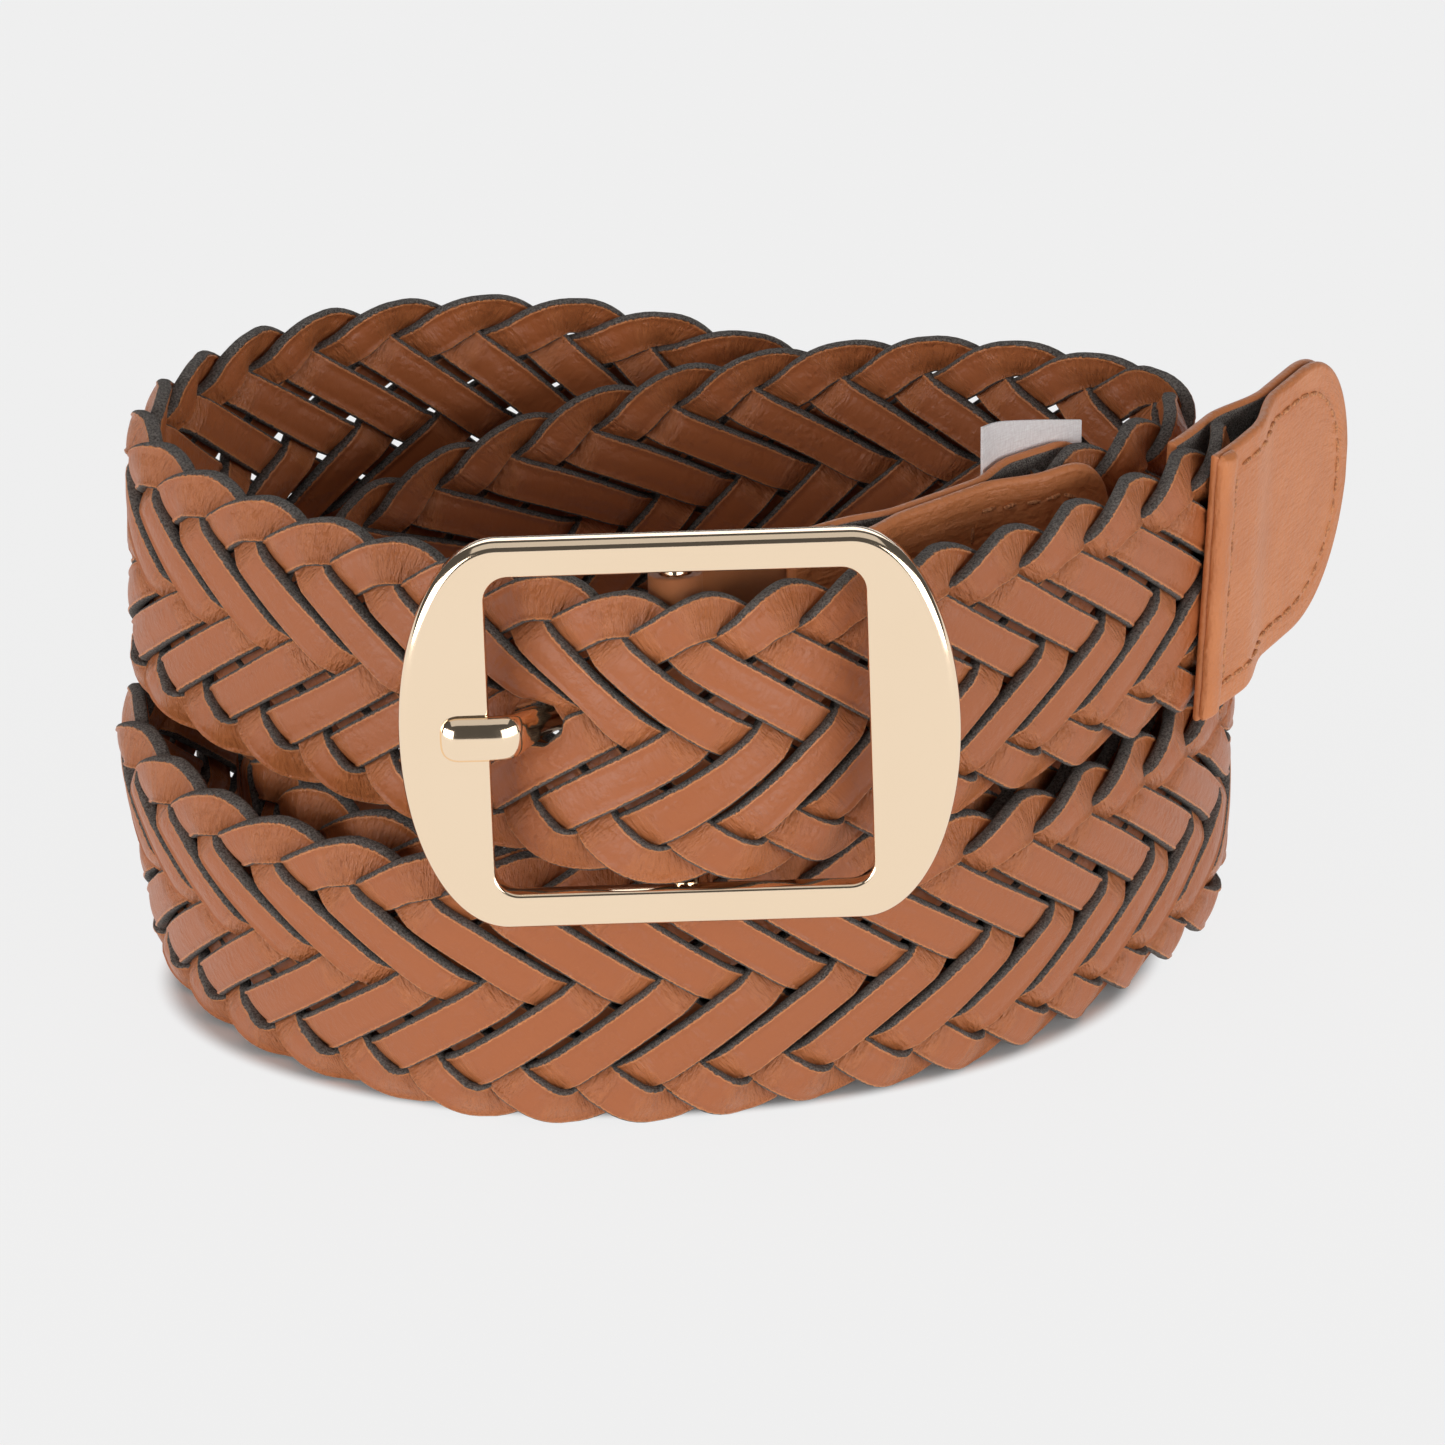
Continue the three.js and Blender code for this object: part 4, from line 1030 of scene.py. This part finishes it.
def frame_outlines():
    t = np.linspace(0, 1, 200)[:, None]
    side = ((1 - t) ** 3 * [FRAME_HALF_WIDTH, 0] + 3 * (1 - t) ** 2 * t * [FRAME_HALF_WIDTH, 12]
            + 3 * (1 - t) * t * t * [27.2, FRAME_HALF_HEIGHT] + t ** 3 * [20, FRAME_HALF_HEIGHT])
    top = np.column_stack([np.linspace(19.9, 0, 60), np.full(60, FRAME_HALF_HEIGHT)])
    corner_x, corner_y = WINDOW_HALF_WIDTH - WINDOW_CORNER, WINDOW_HALF_HEIGHT - WINDOW_CORNER
    window = np.concatenate([
        np.column_stack([np.full(40, WINDOW_HALF_WIDTH), np.linspace(0, corner_y, 40, endpoint=False)]),
        arc(corner_x, corner_y, WINDOW_CORNER, 0, 90, 60),
        np.column_stack([np.linspace(corner_x - 0.1, 0, 60), np.full(60, WINDOW_HALF_HEIGHT)])])
    return outline(np.concatenate([side, top])), outline(window)


def buckle_frame():
    (outer, outer_normal), (inner, inner_normal) = frame_outlines()
    rings = []

    def ring(loop, normal, inset, z):
        rings.append(np.column_stack([loop + normal * inset, np.full(FRAME_STATIONS, z)]))

    def rim(loop, normal, radius, level, turns):
        """Rounds an edge at the front or the back. A radius below 0 is for an outer edge."""
        way = -1 if level == FRAME_FRONT else 1
        for turn in np.radians(turns):
            ring(loop, normal, radius * (1 - math.cos(turn)),
                 level + way * abs(radius) * (1 - math.sin(turn)))

    rim(inner, inner_normal, RIM_INNER, FRAME_FRONT, np.linspace(0, 90, 6))
    first, last = inner + inner_normal * RIM_INNER, outer - outer_normal * RIM_OUTER
    for share in (0.2, 0.4, 0.6, 0.8):
        ring(first + (last - first) * share, outer_normal, 0, FRAME_FRONT)
    rim(outer, outer_normal, -RIM_OUTER, FRAME_FRONT, np.linspace(90, 0, 12))
    rim(outer, outer_normal, -RIM_BACK, FRAME_BACK, np.linspace(0, 90, 5))
    rim(inner, inner_normal, RIM_BACK, FRAME_BACK, np.linspace(90, 0, 5))
    flat = np.stack(rings, axis=1)
    return skin("buckle_ring", buckle_point(flat[..., 0], flat[..., 1], flat[..., 2]), looped=True)


def seat_cutter():
    """The shallow seat that the prong's tip drops into: a slot with a round end."""
    levels = [(SEAT_FLOOR, 0.5), (SEAT_FLOOR + 0.15, 0.15), (SEAT_FLOOR + 0.5, 0.0),
              (FRAME_FRONT + 1, 0.0)]
    rings = []
    for z, inset in levels:
        radius = SEAT_HALF_HEIGHT - inset
        left = arc(-SEAT_END + SEAT_HALF_HEIGHT, 0, radius, 90, 270, 24)
        right = np.array([[-WINDOW_HALF_WIDTH + 3, -radius], [-WINDOW_HALF_WIDTH + 3, radius]])
        flat = np.concatenate([left, right])
        rings.append(buckle_point(flat[:, 0], flat[:, 1], z))
    return skin("seat_cutter", np.stack(rings))


def lug(end):
    """Holds one end of the bar, behind a rail. Its outer side slopes back from the rail."""
    bpy.ops.object.select_all(action="DESELECT")
    bpy.ops.mesh.primitive_cube_add(size=2)
    piece = bpy.context.object
    inner = WINDOW_HALF_HEIGHT + 0.1
    for vertex in piece.data.vertices:
        side, reach, front = vertex.co
        outer = FRAME_HALF_HEIGHT - 0.6 if front > 0 else WINDOW_HALF_HEIGHT + LUG_BORE
        vertex.co = buckle_point(side * LUG_HALF_WIDTH, end * (outer if reach * end > 0 else inner),
                                 LUG_TOP if front > 0 else LUG_BACK)
    finish_with(piece, ("BEVEL", {"width": 0.4 * MM, "segments": 4, "limit_method": "NONE"}))
    return piece


def combine(piece, other, operation):
    finish_with(piece, ("BOOLEAN", {"object": other, "operation": operation, "solver": "EXACT"}))
    bpy.data.objects.remove(other)


buckle = buckle_frame()
combine(buckle, seat_cutter(), "DIFFERENCE")
for end in (1, -1):
    combine(buckle, lug(end), "UNION")
place(buckle, "buckle", "gold_metal", gold_finish, "buckle_frame")

# %% Centre bar
bpy.ops.object.select_all(action="DESELECT")
bpy.ops.mesh.primitive_cylinder_add(vertices=48, radius=BAR_RADIUS * MM, depth=2 * BAR_HALF_LENGTH * MM)
bar = bpy.context.object
bar.name = "bar"
for vertex in bar.data.vertices:
    vertex.co = buckle_point(vertex.co.x / MM, vertex.co.z / MM, -vertex.co.y / MM)
finish_with(bar, ("BEVEL", {"width": 0.3 * MM, "segments": 3, "angle_limit": math.radians(40)}))
place(bar, "buckle", "gold_metal", gold_finish, "centre_bar")

# %% [markdown]
# ## The prong
# A half-round tongue with a ring that turns on the bar. It dips behind the strap, comes
# up through the eye, widens, and its blunt end drops into the seat.

# %% Prong
PRONG_HALF_ROOT, PRONG_HALF_TIP = 1.7, 2.6
PRONG_HALF_THICK = 1.2
PRONG_REACH = 27.2
PRONG_HEIGHT = SEAT_FLOOR + 0.3 + PRONG_HALF_THICK
RING_INNER, RING_OUTER = 1.8, 3.0
PRONG_BLUNT = 2.2
PRONG_LINE = [(-1.9, -0.5), (-5, -1.4), (-9.6, -2.6), (-12.9, -2.7), (-15.3, -0.7), (-17.4, 2.6),
              (-18.9, 5.5), (-20.9, PRONG_HEIGHT), (-PRONG_REACH + PRONG_BLUNT, PRONG_HEIGHT)]


def smooth_line(points, count):
    """A curve through the points, cut into equal steps."""
    ends = np.array([points[0], *points, points[-1]], float)
    t = np.linspace(0, 1, 30, endpoint=False)[:, None]
    bends = [((2 * b) + (c - a) * t + (2 * a - 5 * b + 4 * c - d) * t ** 2
              + (3 * b - a - 3 * c + d) * t ** 3) / 2
             for a, b, c, d in zip(ends, ends[1:], ends[2:], ends[3:])]
    line = np.vstack([*bends, ends[-1:]])
    length = np.append(0, np.cumsum(np.linalg.norm(np.diff(line, axis=0), axis=1)))
    even = np.linspace(0, length[-1], count)
    return np.column_stack([np.interp(even, length, line[:, k]) for k in range(2)])


def prong_shaft():
    middle = smooth_line(PRONG_LINE, 70)
    along = np.gradient(middle, axis=0)
    along /= np.linalg.norm(along, axis=1, keepdims=True)
    half = PRONG_HALF_THICK * np.column_stack([along[:, 1], -along[:, 0]])
    wide = PRONG_HALF_ROOT + (PRONG_HALF_TIP - PRONG_HALF_ROOT) * smoothstep(-middle[:, 0], 14.5, 20)
    blunt = np.linspace(0, np.pi / 2, 14)[1:]
    tip = np.column_stack([-PRONG_REACH + PRONG_BLUNT * (1 - np.sin(blunt)),
                           PRONG_HEIGHT - 0.25 * (1 - np.cos(blunt))])
    middle = np.concatenate([middle, tip])
    half = np.concatenate([half, half[-1] * np.cos(blunt)[:, None] ** 0.75])
    wide = np.concatenate([wide, PRONG_HALF_TIP * np.cos(blunt) ** 0.6])
    turn = np.linspace(0, 2 * np.pi, 40, endpoint=False)
    round_up = np.where(np.sin(turn) > 0, np.sin(turn), -np.abs(np.sin(turn)) ** 0.35)
    boxed = np.sign(np.cos(turn)) * np.abs(np.cos(turn)) ** 0.45
    square = np.where(np.sin(turn) > 0, np.cos(turn), boxed)
    x = middle[:, :1] + half[:, :1] * round_up
    z = middle[:, 1:] + half[:, 1:] * round_up
    piece = skin("tongue", buckle_point(x, wide[:, None] * square, z), capped=False)
    weld(piece)
    rework(piece, lambda work: bmesh.ops.holes_fill(work, edges=work.edges), face_outward)
    return piece


def prong_ring():
    corner = np.radians(np.linspace(0, 360, 33)[:-1])
    across = PRONG_HALF_ROOT * np.sign(np.cos(corner)) * np.abs(np.cos(corner)) ** 0.35
    through = (RING_OUTER - RING_INNER) / 2 * np.sign(np.sin(corner)) * np.abs(np.sin(corner)) ** 0.6
    turn = np.linspace(0, 2 * np.pi, 48, endpoint=False)[:, None]
    radius = (RING_OUTER + RING_INNER) / 2 + through
    rings = buckle_point(radius * np.cos(turn), across, radius * np.sin(turn))
    return skin("prong_ring", rings, looped=True)


tongue = prong_shaft()
combine(tongue, prong_ring(), "UNION")
place(tongue, "prong", "gold_metal", gold_finish, "prong")

# %% [markdown]
# ## The label
# A small woven label is caught behind the tab. It is left blank. It is a thin sheet
# that bows a little, and its weave is fine ribs that cross.

# %% Label
LABEL_FROM, LABEL_LENGTH, LABEL_HEIGHT = 49.0, 17.0, 12.0
LABEL_PROUD = 5.2
LABEL_SLOPE = 0.24
LABEL_THICK = 0.3
LABEL_COLUMNS, LABEL_ROWS = 24, 18


def label_weave():
    finish = Finish("woven_label", {"Roughness": 0.75})
    mapped = finish.along_strap()
    warp = finish.noise(finish.stretched(mapped, 5200, 900), 1.0, detail=1)
    weft = finish.noise(finish.stretched(mapped, 900, 5200), 1.0, detail=1)
    colour = finish.blend(warp * weft * 2, tone(214, 206, 206), tone(240, 238, 238))
    return finish.surface({"Base Color": colour, "Normal": finish.relief(warp + weft, 0.00005)})


def label_sheet():
    run = np.linspace(0, 1, LABEL_COLUMNS)[:, None]
    rise = np.linspace(0, 1, LABEL_ROWS)
    distance = LABEL_FROM + LABEL_LENGTH * run
    height = HALF_WIDTH + LABEL_PROUD - LABEL_SLOPE * LABEL_LENGTH * run - LABEL_HEIGHT * rise
    bow = 0.25 * np.sin(np.pi * run) * (1 - rise)
    offset = -(tab_inner(distance) + LEATHER + 0.3 + LABEL_THICK / 2 + bow)
    points = strap_point(*np.broadcast_arrays(distance, height, offset))
    piece = sheet("label", points, grid_faces(LABEL_COLUMNS, LABEL_ROWS))
    flat = np.stack(np.broadcast_arrays(distance * MM, height * MM), axis=-1).reshape(-1, 2)
    corners = np.array([loop.vertex_index for loop in piece.data.loops])
    piece.data.uv_layers.new(name="strap").data.foreach_set("uv", flat[corners].ravel())
    finish_with(piece, ("SOLIDIFY", {"thickness": LABEL_THICK * MM, "offset": 0.0}))
    return piece


label = label_sheet()
place(label, "strap", "label_cloth", label_weave(), "blank_label")
